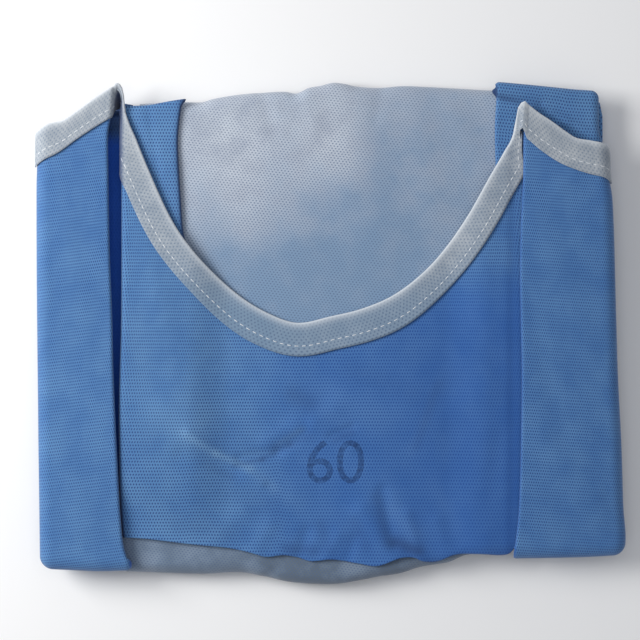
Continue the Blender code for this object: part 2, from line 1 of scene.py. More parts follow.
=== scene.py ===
"""A surgical gown folded flat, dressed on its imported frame.

Tables are in millimetres, as a pattern is drawn: x to the right, y to the neck, z up.
"""

import math

import bmesh
import bpy
import numpy as np
from mathutils import Matrix, Vector


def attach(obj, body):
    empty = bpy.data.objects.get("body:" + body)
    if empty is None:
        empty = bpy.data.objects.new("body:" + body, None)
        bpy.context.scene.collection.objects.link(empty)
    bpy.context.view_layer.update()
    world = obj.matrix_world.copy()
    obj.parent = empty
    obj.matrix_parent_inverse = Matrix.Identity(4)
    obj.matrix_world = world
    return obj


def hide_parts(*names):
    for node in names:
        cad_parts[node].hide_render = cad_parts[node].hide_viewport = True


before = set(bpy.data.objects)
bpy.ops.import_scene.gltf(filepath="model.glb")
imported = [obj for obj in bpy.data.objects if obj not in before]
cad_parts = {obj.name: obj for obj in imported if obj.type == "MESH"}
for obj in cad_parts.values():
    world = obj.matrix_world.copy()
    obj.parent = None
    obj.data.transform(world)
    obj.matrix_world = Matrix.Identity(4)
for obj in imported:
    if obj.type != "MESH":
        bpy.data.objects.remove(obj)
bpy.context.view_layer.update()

# Camera: straight above the folded gown, as a catalogue picture is taken, with the
# neck towards the top of the picture.

scene = bpy.context.scene
scene.view_settings.view_transform = "Standard"
eye = bpy.data.cameras.new("camera")
eye.lens = 100.0
eye.sensor_width = 36.0
camera = bpy.data.objects.new("camera", eye)
camera.location = (-0.0064, 0.0075, 1.052)
scene.collection.objects.link(camera)
scene.camera = camera

# Hidden layers: the rest of the gown's body, fan-folded under the panels that show.
# Blue nonwoven like the panels. Only the rounded folds at its edges can be seen, and
# its underside lies flat.

MM = 0.001
CORE_TOP = 13.0
STACK_TOP = 21.6
GROOVE_FLOOR = 7.5
CORE_INSET = 9.0
FOLD_PITCH = 2.15               # from one folded layer's edge to the next
PILE_LEFT = -160.0
PILE_RIGHT = 152.0
PILE_FOOT = -140.0
PILE_HEAD = 142.0
LEFT_STACK = -134.0             # left of it the layers lie high
RIGHT_STACK = 120.0             # right of it too, up to its end
RIGHT_STACK_END = 76.0
GROOVE_LEFT = -136.0
GROOVE_RIGHT = -114.0
SKIRT_TOP = 12.7
SKIRT_LEVELS = 48
SOFT_WAVES = (
    # height, along x, along y, turn
    (0.30, 0.031, 0.017, 0.4), (0.22, -0.022, 0.043, 1.9), (0.16, 0.057, 0.034, 3.1),
)
LEFT_NECK = {
    "x": (-172, -163.7, -155.1, -147.1, -139.1, -131.1, -125.5),
    "y": (114.8, 119.9, 121.9, 127.3, 133.2, 138.6, 142.0),
}
PALE_FOOT = {
    "x": (-135, -115, -76, -53, -40, -24, -6, 5, 17, 28, 41, 53, 69, 80, 110),
    "y": (-139.7, -140.2, -141.4, -140.5, -142.8, -146.2, -147.5, -147.2, -145.2, -143.1,
          -141, -137.3, -134.5, -130.2, -128.8),
}
PALE_HEAD = {
    "x": (-120, -90, -76, -69, -55, -41, -27, -20, -13, -6, 1, 8, 15, 28, 42, 56, 77, 96, 120),
    "y": (133.6, 135.6, 135.2, 137.2, 139.6, 140.8, 141.4, 140.4, 143.6, 144.9, 146.6, 146,
          144.4, 143.7, 144.8, 144.3, 143.2, 142.1, 141.6),
}
RIGHT_SLEEVE_HEAD = {
    "x": (95, 111, 129, 143, 157),
    "y": (146.5, 145.1, 143.3, 141.9, 141.1),
}


def smooth(t):
    """Eases from 0 to 1."""
    t = min(max(t, 0.0), 1.0)
    return t * t * (3 - 2 * t)


def along(table, across, value, at):
    """Reads a table's column at a place in its other column, on a smooth curve."""
    xs = table[across]
    ys = table[value]
    k = int(np.clip(np.searchsorted(xs, at) - 1, 0, len(xs) - 2))
    step = xs[k + 1] - xs[k]
    t = min(max((at - xs[k]) / step, 0.0), 1.0)

    def slope(i):
        low = max(i - 1, 0)
        high = min(i + 1, len(xs) - 1)
        return (ys[high] - ys[low]) / (xs[high] - xs[low])

    rise = ys[k + 1] - ys[k]
    bend = (t - 1) * (slope(k) * step - rise) * (t - 1) * t
    bend += t * t * (t - 1) * (slope(k + 1) * step - rise)
    return ys[k] + rise * t + bend


def edge_x(table, y):
    return along(table, "y", "x", y)


def edge_y(table, x):
    return along(table, "x", "y", x)


def undulation(x, y):
    """Never below zero, so layers that share it keep their distance."""
    total = 0.0
    for height, ax, ay, turn in SOFT_WAVES:
        total += height * (1 + math.sin(ax * x + ay * y + turn))
    return total


class Wire:
    """A shader socket on which sums are written as on numbers."""

    def __init__(self, tree, socket=None):
        self.tree = tree
        self.socket = socket

    def node(self, kind, settings, inputs, output=0):
        made = self.tree.nodes.new(kind)
        for name, setting in settings.items():
            setattr(made, name, setting)
        for name, given in inputs.items():
            if isinstance(given, Wire):
                self.tree.links.new(given.socket, made.inputs[name])
            else:
                made.inputs[name].default_value = given
        return Wire(self.tree, made.outputs[output])

    def tint(self, name):
        """How much of a tint the cloth takes."""
        return self.node("ShaderNodeAttribute", {"attribute_name": name}, {}, 2)

    def noise(self, place, scale, detail):
        return self.node("ShaderNodeTexNoise", {},
                         {"Vector": place, "Scale": scale, "Detail": detail})

    def sum(self, operation, *parts):
        return self.node("ShaderNodeMath", {"operation": operation}, dict(enumerate(parts)))

    def __add__(self, other):
        return self.sum("ADD", self, other)

    def __sub__(self, other):
        return self.sum("SUBTRACT", self, other)

    def __rsub__(self, other):
        return self.sum("SUBTRACT", other, self)

    def __mul__(self, other):
        return self.sum("MULTIPLY", self, other)

    def __truediv__(self, other):
        return self.sum("DIVIDE", self, other)

    __radd__ = __add__
    __rmul__ = __mul__

    def ease(self, low, high, to_low=0.0, to_high=1.0):
        """Runs smoothly from one value to another between two places."""
        return self.node("ShaderNodeMapRange", {"interpolation_type": "SMOOTHSTEP"},
                         {0: self, 1: low, 2: high, 3: to_low, 4: to_high})

    def blend(self, first, second):
        """Mixes two colours by this value."""
        return self.node("ShaderNodeMix", {"data_type": "RGBA"},
                         {0: self, 6: first, 7: second}, 2)


def start_finish(name, roughness, sheen, sheen_roughness):
    """A nonwoven's surface: dull, with the faint sheen of its fibres."""
    material = bpy.data.materials.new(name)
    material.use_nodes = True
    shader = material.node_tree.nodes["Principled BSDF"]
    shader.inputs["Roughness"].default_value = roughness
    shader.inputs["Sheen Weight"].default_value = sheen
    shader.inputs["Sheen Roughness"].default_value = sheen_roughness
    shader.inputs["Specular IOR Level"].default_value = 0.35
    return material, shader, Wire(material.node_tree)


def flat_place(wire, layer="cloth"):
    """The place on the cloth laid flat, in millimetres."""
    place = wire.node("ShaderNodeUVMap", {"uv_map": layer}, {})
    across = wire.node("ShaderNodeSeparateXYZ", {}, {0: place}, 0)
    upwards = wire.node("ShaderNodeSeparateXYZ", {}, {0: place}, 1)
    return place, across * 1000.0, upwards * 1000.0


def emboss(wire, shader, rise, strength, depth):
    """Presses a pattern into the surface."""
    bump = wire.node("ShaderNodeBump", {},
                     {"Strength": strength, "Distance": depth, "Height": rise})
    wire.tree.links.new(bump.socket, shader.inputs["Normal"])


def bond_points(across, upwards, pitch_x, pitch_y, half_x, half_y, slant):
    """Rows of oval bonding points, each row leaning the other way: 1 inside a point."""
    row = upwards / pitch_y
    odd = row.sum("FLOOR", row).sum("MODULO", row.sum("FLOOR", row) + 1000.0, 2.0)
    dx = across / pitch_x + odd * 0.5
    dx = (dx.sum("FRACT", dx) - 0.5) * pitch_x
    dy = (row.sum("FRACT", row) - 0.5) * pitch_y
    lean = 1.0 - odd * 2.0
    turned_x = (dx - dy * lean * slant) / half_x
    turned_y = (dy + dx * lean * slant) / half_y
    far = turned_x * turned_x + turned_y * turned_y
    return far.ease(0.45, 1.6, 1.0, 0.0)


BLUE = (0.062, 0.185, 0.430, 1.0)
BLUE_LIGHT = (0.105, 0.255, 0.500, 1.0)
BLUE_POINT = (0.009, 0.038, 0.170, 1.0)
BLUE_DEEP = (0.003, 0.083, 0.385, 1.0)
BLUE_SHADOW = (0.010, 0.037, 0.130, 1.0)
# Painted light: a bright deep blue standing for light bounced into the shaded groove.
BLUE_GROOVE_GLOW = (0.010, 0.120, 0.720, 1.0)
BLUE_RAISED = (0.165, 0.335, 0.560, 1.0)
BLUE_BONDS = (1.68, 1.89, 0.42, 0.62, 0.35)     # pitch across and up, half sizes, slant
BOND_DEPTH = 0.00012


def blue_finish(name, deep_blue):
    """Blue nonwoven: fibres pressed together in rows of small points.

    It is paler where its light tint says so: a paler tone on the sleeves and painted highlights on the
    front's ridges.
    It is deeper where its shade and dark tints say so: a deeper tone over the front, and painted shade
    in the groove, round crisp folds, in troughs and in openings.
    """
    material, shader, wire = start_finish(name, 0.78, 0.25, 0.5)
    place, across, upwards = flat_place(wire)
    points = bond_points(across, upwards, *BLUE_BONDS)
    cloudy = wire.noise(place, 55.0, 4.0)
    fibres = wire.noise(place, 900.0, 3.0)
    drift = cloudy * 0.75 + fibres * 0.45
    ground = drift.ease(0.35, 0.85).blend(BLUE, BLUE_LIGHT)
    # Paler tone on the sleeves, painted highlights along the front's ridges.
    ground = wire.tint("light").blend(ground, BLUE_RAISED)
    ground = (points * 0.92).blend(ground, BLUE_POINT)
    # Deeper tone over the front, painted shade in the groove and round crisp folds; in the hidden
    # layers a painted glow of blue light in the groove.
    ground = wire.tint("shade").blend(ground, deep_blue)
    # Painted shade where the cloth turns under, in troughs, openings and the groove, and a little
    # darker at the front's lower right.
    ground = wire.tint("dark").blend(ground, BLUE_SHADOW)
    wire.tree.links.new(ground.socket, shader.inputs["Base Color"])
    rise = fibres * 0.25 + cloudy * 0.2 - points * 0.8
    emboss(wire, shader, rise, 0.55, BOND_DEPTH)
    return material


def make_piece(name, drawn):
    """Turns what was drawn into a piece of the scene."""
    mesh = bpy.data.meshes.new(name)
    drawn.to_mesh(mesh)
    drawn.free()
    piece = bpy.data.objects.new(name, mesh)
    scene.collection.objects.link(piece)
    return piece


def put_on(piece, material, slot, *nodes):
    """Gives a piece its finish and its place in the frame."""
    piece.data.materials.clear()
    piece.data.materials.append(material)
    piece.data.shade_smooth()
    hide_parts(*nodes)
    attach(piece, "root")


def core_height(x, y):
    """High below both back panels, low along the groove."""
    left = smooth((LEFT_STACK - x) / 4) * smooth((edge_y(LEFT_NECK, x) - 16 - y) / 8)
    right = smooth((x - RIGHT_STACK) / 4) * smooth((RIGHT_STACK_END - y) / 8)
    groove = smooth((x - GROOVE_LEFT) / 3) * smooth((GROOVE_RIGHT - x) / 3)
    top = CORE_TOP + (STACK_TOP + undulation(x, y) - CORE_TOP) * max(left, right)
    return top - (CORE_TOP - GROOVE_FLOOR) * groove


def pile_foot(x):
    return max(PILE_FOOT, edge_y(PALE_FOOT, x) + 1.0)


def pile_head(x):
    """Just inside the neck or head edge of what lies on the pile there."""
    if x < -120:
        return edge_y(LEFT_NECK, max(x, -171)) - 4.0
    if x > 112:
        return min(edge_y(RIGHT_SLEEVE_HEAD, x) - 2.0, PILE_HEAD)
    return edge_y(PALE_HEAD, x) - 1.0


def core_place(x, v):
    """A point of the pile's top, v running from its foot to its head."""
    low = pile_foot(x) + CORE_INSET
    y = low + v * (pile_head(x) - CORE_INSET - low)
    return Vector((x, y, core_height(x, y)))


pile = bmesh.new()
station = pile.verts.layers.int.new("station")
flat = pile.loops.layers.uv.new("cloth")
bmesh.ops.create_grid(pile, x_segments=104, y_segments=70, size=0.5)
shade = pile.verts.layers.float.new("shade")
dark = pile.verts.layers.float.new("dark")
for vert in pile.verts:
    x = PILE_LEFT + (PILE_RIGHT - PILE_LEFT) * (vert.co.x + 0.5)
    vert.co = core_place(x, vert.co.y + 0.5) * MM
around = {}                     # each rim point's place and the way out from it
for n, vert in enumerate([vert for vert in pile.verts if vert.is_boundary]):
    vert[station] = n
    before, after = [edge.other_vert(vert) for edge in vert.link_edges if edge.is_boundary]
    run = (after.co - before.co).normalized()
    out = Vector((run.y, -run.x, 0.0))
    around[n] = (vert.co / MM, out if out.dot(vert.co) > 0 else -out)


def layer_edge(spot, out, z):
    """A point on the pile's side, where rounded folds lie on each other.

    At the foot and the head the upper layers end further in, below the end folds.
    """
    side = max(smooth((-124 - spot.x) / 8), smooth((spot.x - 108) / 8))
    high = (1 - side) * smooth((z - 5.5) / 2)
    layer = math.floor(z / FOLD_PITCH)
    swell = abs(math.sin(math.pi * z / FOLD_PITCH)) ** 0.55
    slip = 0.7 * math.sin(1.9 * layer + 0.021 * spot.x - 0.017 * spot.y)
    slip += 0.35 * math.sin(5.1 * layer + 0.09 * spot.x + 0.08 * spot.y)
    drawn_in = 5.4 - 2.4 * swell + slip
    reach = CORE_INSET - drawn_in * (1 - high) - 8.5 * high
    wave = 0.4 * math.sin(0.05 * spot.x + 0.043 * spot.y + layer) * smooth(z / 2)
    return Vector((spot.x + out.x * reach, spot.y + out.y * reach, z + wave))


rim = [edge for edge in pile.edges if edge.is_boundary]
for level in range(SKIRT_LEVELS, -1, -1):
    skirt = bmesh.ops.extrude_edge_only(pile, edges=rim)["geom"]
    rim = [item for item in skirt if isinstance(item, bmesh.types.BMEdge) and item.is_boundary]
    for vert in {vert for edge in rim for vert in edge.verts}:
        vert.co = layer_edge(*around[vert[station]], SKIRT_TOP * level / SKIRT_LEVELS) * MM
bmesh.ops.contextual_create(pile, geom=rim)
# Painted light and shade in the groove: a bright blue glow for light bounced into it, turning to
# painted shade towards the neck end.
for vert in pile.verts:
    x, y, z = vert.co / MM
    inside = smooth((x - GROOVE_LEFT + 1) / 3) * smooth((GROOVE_RIGHT + 1 - x) / 3)
    groove = 0.85 * inside * smooth((z - 4) / 3)
    vert[shade] = groove * smooth((122 - y) / 12) * smooth((y + 124) / 20)
    vert[dark] = groove * smooth((y - 110) / 12)
bmesh.ops.recalc_face_normals(pile, faces=pile.faces[:])
for face in pile.faces:
    for corner in face.loops:
        spot = corner.vert.co
        corner[flat].uv = (spot.x + 0.6 * spot.z, spot.y + 0.6 * spot.z)
hidden_layers = make_piece("hidden_layers", pile)
inner_blue = blue_finish("blue_nonwoven_inside", BLUE_GROOVE_GLOW)
put_on(hidden_layers, inner_blue, "blue_cloth", "folded_layers")

# Reinforcement panel: the pale, softer nonwoven that lines the front of the body. It
# lies over the pile and turns down round both of its ends.

END_FOLD = 7.0                  # radius over the pile's foot and head
TUCK = 4.0
PALE_TOP = 14.5
PALE_WALL = 0.5
PALE_LEFT = -112.0
PALE_RIGHT = 100.0
PALE_REACH = 137.0
PALE_TURNED = 0.5 * math.pi * END_FOLD + 3.2
LEVEL_END = 135.0
LEFT_FLAP_FOLD = {
    "y": (-137, -124, -108, -78, -23, 8, 48, 106, 116, 125, 140),
    "x": (-115.8, -120, -121.8, -123.5, -126, -126.7, -128.2, -129.2, -129.0, -127.5, -126.4),
}
PALE_FOLDS = (
    # ridges and troughs: from x, y, to x, y, half width, height
    (-88, 120, -20, 60, 14, 0.5), (-60, 128, 10, 84, 8, 0.4), (10, 140, 22, 60, 18, 0.5),
    (48, 138, 60, 70, 9, 0.35), (70, 132, 88, 96, 7, 0.4), (-30, 60, 40, 40, 12, -0.5),
    (-40, 140, -34, 118, 4, -0.5), (-16, 146, -10, 120, 5, 0.5), (30, 146, 26, 124, 4, -0.4),
    (-110, -136, -60, -131, 3, 0.4), (-40, -146, -28, -134, 4, -0.8), (10, -148, 22, -134, 5, 0.5),
    (52, -142, 46, -130, 4, -0.6),
)


def folds(table, x, y):
    """Soft ridges and troughs pressed into a layer."""
    total = 0.0
    for x0, y0, x1, y1, half, height in table:
        dx = x1 - x0
        dy = y1 - y0
        t = ((x - x0) * dx + (y - y0) * dy) / (dx * dx + dy * dy)
        nearest = min(max(t, 0.0), 1.0)
        far = math.hypot(x - x0 - nearest * dx, y - y0 - nearest * dy) / half
        if far < 3:
            total += height * math.exp(-far * far)
    return total


def lay_cloth(name, rows, wall, tints, squared=True, grain=(1.0, 1.0, 0.0)):
    """Draws a cloth onto rows of points and gives it a wall under its outer face.

    tints has a function for each tint: how much of it the point at a column and a
    place takes. The flat layout is squared to the middle, or runs from the edge.
    grain is how many times closer its pattern is across and up, and how it leans.
    """
    last_row = len(rows) - 1
    last = len(rows[0]) - 1
    spots = np.array([[tuple(point) for point in row] for row in rows])
    run_u = np.linalg.norm(np.diff(spots, axis=1), axis=2).cumsum(axis=1)
    run_v = np.linalg.norm(np.diff(spots, axis=0), axis=2).cumsum(axis=0)
    flat_u = np.hstack([np.zeros((last_row + 1, 1)), run_u])
    flat_v = np.vstack([np.zeros((1, last + 1)), run_v])
    if squared:
        flat_u += spots[:, last // 2, 0][:, None] - flat_u[:, last // 2][:, None]
        flat_v += spots[last_row // 2, :, 1][None, :] - flat_v[last_row // 2, :][None, :]
    else:
        flat_v[:] = flat_v[:, last // 2][:, None]
    cloth = bmesh.new()
    layer = cloth.loops.layers.uv.new("cloth")
    bmesh.ops.create_grid(cloth, x_segments=last, y_segments=last_row, size=0.5)
    for face in cloth.faces:
        for corner in face.loops:
            i = round((corner.vert.co.x + 0.5) * last)
            j = round((corner.vert.co.y + 0.5) * last_row)
            u, v = flat_u[j, i] * MM, flat_v[j, i] * MM
            corner[layer].uv = (grain[0] * u, grain[1] * v + grain[2] * u)
    fields = [(cloth.verts.layers.float.new(tint), amount) for tint, amount in tints.items()]
    for vert in cloth.verts:
        i = round((vert.co.x + 0.5) * last)
        j = round((vert.co.y + 0.5) * last_row)
        for field, amount in fields:
            vert[field] = min(max(amount(i, *spots[j, i]), 0.0), 1.0)
        vert.co = Vector(spots[j, i]) * MM
    piece = make_piece(name, cloth)
    thickness = piece.modifiers.new("wall", "SOLIDIFY")
    thickness.thickness = wall * MM
    thickness.offset = -1.0
    thickness.use_even_offset = False
    return piece


def over_end(x, y, far, end, top):
    """A point of a layer that goes round an end of the pile: -1 its foot, 1 its head."""
    quarter = 0.5 * math.pi * END_FOLD
    if far <= quarter:
        turn = far / END_FOLD
        return Vector((x, y + end * END_FOLD * math.sin(turn),
                       top - END_FOLD + END_FOLD * math.cos(turn)))
    turn = (far - quarter) / TUCK
    return Vector((x, y + end * (END_FOLD - TUCK + TUCK * math.cos(turn)),
                   top - END_FOLD - TUCK * math.sin(turn)))


def past_fold(length, count):
    """Lengths past a fold's start, longest first, without zero."""
    return [length * (count - k) / count for k in range(count)]


def pale_foot_start(x):
    return edge_y(PALE_FOOT, x) + END_FOLD


def pale_left(y):
    """Its left edge runs straight, then close to the left back panel's fold."""
    beside_flap = edge_x(LEFT_FLAP_FOLD, max(y, -PALE_REACH)) - 4.0
    return PALE_LEFT + (beside_flap - PALE_LEFT) * smooth((-84 - y) / 14)


def pale_height(x, y):
    inside = min(max(y, -LEVEL_END), LEVEL_END)
    return PALE_TOP + undulation(x, inside) + folds(PALE_FOLDS, x, y)


def pale_row(end, far, v):
    """Points across the panel, far past the fold at an end or at v between both folds."""
    row = []
    left = pale_left(PALE_REACH * (2 * v - 1))
    for k in range(141):
        x = left + (PALE_RIGHT - left) * k / 140
        low = pale_foot_start(x)
        high = edge_y(PALE_HEAD, x) - END_FOLD
        y = low + (high - low) * v
        top = pale_height(x, y + end * min(far, END_FOLD))
        row.append(over_end(x, y, far, end, top))
    return row


pale_rows = [pale_row(-1, far, 0.0) for far in past_fold(PALE_TURNED, 14)]
pale_rows += [pale_row(1, 0.0, k / 150) for k in range(151)]
pale_rows += [pale_row(1, far, 1.0) for far in reversed(past_fold(PALE_TURNED, 14))]

PALE = (0.410, 0.460, 0.550, 1.0)
PALE_LIGHT = (0.590, 0.640, 0.710, 1.0)
PALE_POINT = (0.085, 0.135, 0.245, 1.0)
PALE_BLUE = (0.190, 0.300, 0.455, 1.0)
PALE_GREY = (0.102, 0.143, 0.199, 1.0)
PALE_BONDS = (2.04, 1.38, 0.52, 0.40, 0.35)
PALE_BOND_DEPTH = 0.0001
PALE_GRAIN = math.radians(7.0)  # how far the panel was cut off the cloth's grain
SEE_THROUGH = (
    # where the blue layer below shows through: x, y, half width, half height, amount
    (-2, 78, 20, 14, 0.35), (-8, 26, 62, 30, 1.05), (34, 56, 46, 26, 0.25),
    (-72, 60, 14, 50, 0.20), (66, 100, 44, 50, 0.42), (-60, 110, 26, 30, -0.35),
    (0, 114, 18, 30, -0.22), (26, 96, 12, 30, 0.22), (-30, 100, 10, 24, 0.10),
)


def see_through(column, x, y, z):
    """How blue the panel looks, even at its foot and clouded higher up."""
    amount = 0.30
    for cx, cy, wide, high, share in SEE_THROUGH:
        amount += share * math.exp(-((x - cx) / wide) ** 2 - ((y - cy) / high) ** 2)
    return 0.75 if y < -100 else amount


def end_grey(column, x, y, z):
    """Grey in the shade of the front panel's lower edge."""
    return smooth((-108 - y) / 14) * (0.74 + 0.26 * smooth((x + 80) / 60))


pale_tints = {"see_through": see_through, "grey": end_grey}
reinforcement = lay_cloth("lining_panel", pale_rows, PALE_WALL, pale_tints)
pale, shader, wire = start_finish("pale_nonwoven", 0.85, 0.3, 0.6)
place, across, upwards = flat_place(wire)
grain_x = across * math.cos(PALE_GRAIN) - upwards * math.sin(PALE_GRAIN)
grain_y = across * math.sin(PALE_GRAIN) + upwards * math.cos(PALE_GRAIN)
points = bond_points(grain_x, grain_y, *PALE_BONDS)
cloudy = wire.noise(place, 70.0, 5.0)
fibres = wire.noise(place, 800.0, 3.0)
mottle = wire.noise(place, 38.0, 4.0)
ground = (cloudy * 0.7 + fibres * 0.5).ease(0.4, 0.85).blend(PALE, PALE_LIGHT)
through = wire.tint("see_through") + (cloudy - 0.5) * 0.8 + (mottle - 0.5) * 0.35
ground = through.ease(0.0, 1.1).blend(ground, PALE_BLUE)
grey = wire.tint("grey")
uneven = (mottle * 0.5 + cloudy * 0.5).ease(0.38, 0.62, 0.62, 1.1)
ground = (grey * uneven).blend(ground, PALE_GREY)
ground = (points * (grey * 0.12 + 0.78)).blend(ground, PALE_POINT)
wire.tree.links.new(ground.socket, shader.inputs["Base Color"])
emboss(wire, shader, fibres * 0.5 + cloudy * 0.3 - points * 0.5, 0.5, PALE_BOND_DEPTH)
put_on(reinforcement, pale, "pale_cloth", "reinforcement_panel")

# Sleeves: tubes of the blue nonwoven, pressed flat and folded down behind the neckline.
# Only a corner of each shows, so each is one cloth that turns under at its edges.

SLEEVE_TOP = 17.8
SLEEVE_FOLD = 1.5
HEAD_ROLL = 6.0
BLUE_WALL = 0.5
LEFT_SLEEVE_END = -120.2
LEFT_SLEEVE_LOW = 36.0
LEFT_SLEEVE_HIGH = 133.6
UNDER_WIDTH = 14.0              # of its lower layer that is drawn
RIGHT_OPENING_X = 98.5
RIGHT_OPENING_Y = 140.8
LEFT_SLEEVE_EDGE = {
    "y": (30, 53, 62, 83, 99, 111, 123, 134, 140),
    "x": (-84, -85, -86.3, -87.7, -88.6, -89, -88, -86.3, -85.6),
}
LEFT_SLEEVE_HEAD = {
    "x": (-119, -107, -94, -85),
    "y": (134, 134.4, 136.8, 138.2),
}
RIGHT_SLEEVE_EDGE = {
    "y": (60, 97, 120, 146),
    "x": (95.9, 95.8, 95.4, 97.0),
}
RIGHT_SLEEVE_SIDE = {
    "y": (84, 100, 109, 117, 130, 146),
    "x": (154, 156.5, 158.6, 156.4, 156.2, 156.0),
}
SLEEVE_CREASES = (
    (128, 128, 158, 112, 2.6, 0.8), (134, 120, 160, 106, 2.4, -0.7), (118, 116, 136, 122, 3, 0.5),
    (97, 138.0, 122, 132.6, 1.7, -1.2), (122, 132.6, 158, 130.0, 3, -0.5),
    (97, 140.5, 156, 137.5, 2.6, 0.7), (100, 122, 112, 119, 4, -0.5),
    (-112, 126, -94, 96, 6, 0.35), (-106, 130, -100, 88, 2.2, -0.35),
)


def over_fold(far, radius, drop, tuck, lift=0.0):
    """How far out and down a cloth is at a length past the start of its fold."""
    quarter = 0.5 * math.pi * 0.5 * (radius + drop)
    if far <= quarter:
        turn = 0.5 * math.pi * far / quarter
        return (radius + lift) * math.sin(turn), drop - (drop + lift) * math.cos(turn)
    turn = (far - quarter) / tuck
    return radius - tuck + (tuck + lift) * math.cos(turn), drop + (tuck + lift) * math.sin(turn)


def folded_point(panel, u, v, beside=0.0, below=0.0, lift=0.0, across_tape=None):
    """A point of a panel whose left, right and lower edges turn down.

    u runs between the side folds and v from the lower fold to the neck edge.
    beside and below are lengths past a fold, and across_tape, a share of the neck
    tape's width, replaces v.
    """
    side = panel["left_fold"] if beside < 0 or u < 0.5 else panel["right_fold"]
    end = panel["foot_fold"]
    y = 0.0
    for _ in range(4):
        x = panel["left"](y) + panel["left_fold"][0]
        x += u * (panel["right"](y) - panel["right_fold"][0] - x)
        low = panel["foot"](x) + end[0]
        y = low + v * (panel["neck"](x) - low)
        if across_tape is not None:
            y = panel["neck"](x) - across_tape * (panel["neck"](x) - panel["tape_foot"](x))
    z = panel["height"](x, y)
    below_part = below * panel["foot_share"](x)
    far = max(abs(beside), below_part)
    if far <= 0:
        return Vector((x, y, z + lift))
    span = math.hypot(beside, below_part)
    sx = beside / span
    sy = -below_part / span
    radius = math.hypot(side[0] * sx, end[0] * sy)
    drop = math.hypot(side[1] * sx, end[1] * sy)
    out, down = over_fold(far, radius, drop, panel["tuck"], lift)
    outer_x = x + sx * out
    if below <= 0:
        share = v * v if across_tape is None else 1.0
        y += share * (panel["neck"](outer_x) - panel["neck"](x))
    return Vector((outer_x, y + sy * out, z - down))


def folded_rows(panel, columns, rows):
    """Rows of points over the whole of such a panel."""
    across = [(0.0, -far) for far in past_fold(*panel["left_fold"][2:])]
    across += [(k / columns, 0.0) for k in range(columns + 1)]
    across += [(1.0, far) for far in reversed(past_fold(*panel["right_fold"][2:]))]
    up = [(0.0, far) for far in past_fold(*panel["foot_fold"][2:])]
    up += [(k / rows, 0.0) for k in range(rows + 1)]
    return [[folded_point(panel, u, v, beside, below) for u, beside in across]
            for v, below in up]


def left_sleeve_line(y):
    """Across the sleeve: its lower layer, the turn at its edge and its upper layer."""
    inner = edge_x(LEFT_SLEEVE_EDGE, y) - SLEEVE_FOLD
    gape = 2.6 * smooth((y - 129.5) / 3.5)
    line = [(inner - UNDER_WIDTH * (1 - k / 6) + gape, SLEEVE_TOP - 2 * SLEEVE_FOLD)
            for k in range(6)]
    for k in range(11):
        turn = math.pi * k / 10
        line.append((inner + SLEEVE_FOLD * math.sin(turn) + gape * (1 - k / 10) ** 0.5,
                     SLEEVE_TOP - SLEEVE_FOLD - SLEEVE_FOLD * math.cos(turn)))
    reach = inner - LEFT_SLEEVE_END
    return line + [(inner - reach * k / 22, SLEEVE_TOP) for k in range(1, 23)]


left_rows = []
head_at = edge_y(LEFT_SLEEVE_HEAD, -100)
for n in range(76):
    y = LEFT_SLEEVE_LOW + (LEFT_SLEEVE_HIGH - LEFT_SLEEVE_LOW) * n / 75
    row = []
    for k, (x, z) in enumerate(left_sleeve_line(y)):
        place_y = y + (edge_y(LEFT_SLEEVE_HEAD, x) - head_at) * smooth((y - 84) / 48)
        near = max(0.0, place_y - (edge_y(LEFT_SLEEVE_HEAD, x) - 4.0))
        drop = HEAD_ROLL - math.sqrt(HEAD_ROLL ** 2 - min(near, 4.0) ** 2)
        upper = smooth((k - 12) / 6)
        z += undulation(x, place_y) + upper * folds(SLEEVE_CREASES, x, place_y) - drop
        row.append(Vector((x, place_y, z)))
    left_rows.append(row[::-1])


def shaded_turn(column, x, y, z):
    """Painted shade where the sleeve's cloth turns under."""
    return 0.9 * smooth((column - 20) / 5)


left_sleeve = lay_cloth("left_sleeve", left_rows, BLUE_WALL,
                        {"dark": shaded_turn, "light": lambda column, x, y, z: 0.16})
RIGHT_SLEEVE = {
    "left": lambda y: edge_x(RIGHT_SLEEVE_EDGE, -y),
    "right": lambda y: edge_x(RIGHT_SLEEVE_SIDE, -y),
    "foot": lambda x: -edge_y(RIGHT_SLEEVE_HEAD, x),
    "neck": lambda x: -84.0,
    "height": lambda x, y: SLEEVE_TOP + undulation(x, -y) + folds(SLEEVE_CREASES, x, -y),
    "left_fold": (SLEEVE_FOLD, SLEEVE_FOLD, 3.6, 6),
    "right_fold": (5.0, 3.4, 6.4, 8),
    "foot_fold": (5.0, 3.4, 6.4, 8),
    "foot_share": lambda x: 1.0,
    "tuck": 2.6,
}


def right_corner(x, y, z):
    """The tube gapes a little at its upper left corner, over the lining."""
    low = smooth((SLEEVE_TOP - 0.4 - z) / 1.2) * smooth((RIGHT_OPENING_X - x) / 1.5)
    return Vector((x - 3.2 * low * math.exp(-((y - RIGHT_OPENING_Y) / 2.3) ** 2), y, z))


right_rows = [[right_corner(x, -y, z) for x, y, z in reversed(row)]
              for row in folded_rows(RIGHT_SLEEVE, 44, 60)]


def shaded_top(column, x, y, z):
    """Painted shade in the small opening at its corner and below the rolled upper edge."""
    corner = smooth((RIGHT_OPENING_X - 1.2 - x) / 0.8)
    corner *= math.exp(-((y - RIGHT_OPENING_Y) / 3.2) ** 2)
    roll = math.exp(-((y - 137.6 + 0.23 * (x - 97)) / 1.5) ** 2) * smooth((128 - x) / 30)
    return 0.95 * corner + 0.55 * roll


right_sleeve = lay_cloth("right_sleeve", right_rows, BLUE_WALL,
                         {"dark": shaded_top, "light": lambda column, x, y, z: 0.12})
blue = blue_finish("blue_nonwoven", BLUE_DEEP)
put_on(left_sleeve, blue, "blue_cloth", "sleeve_left")
put_on(right_sleeve, blue, "blue_cloth", "sleeve_right")

# Front panel: blue nonwoven cut with a deep round neckline, its left edge folded
# under beside the groove and its lower edge left loose over the pale lining.

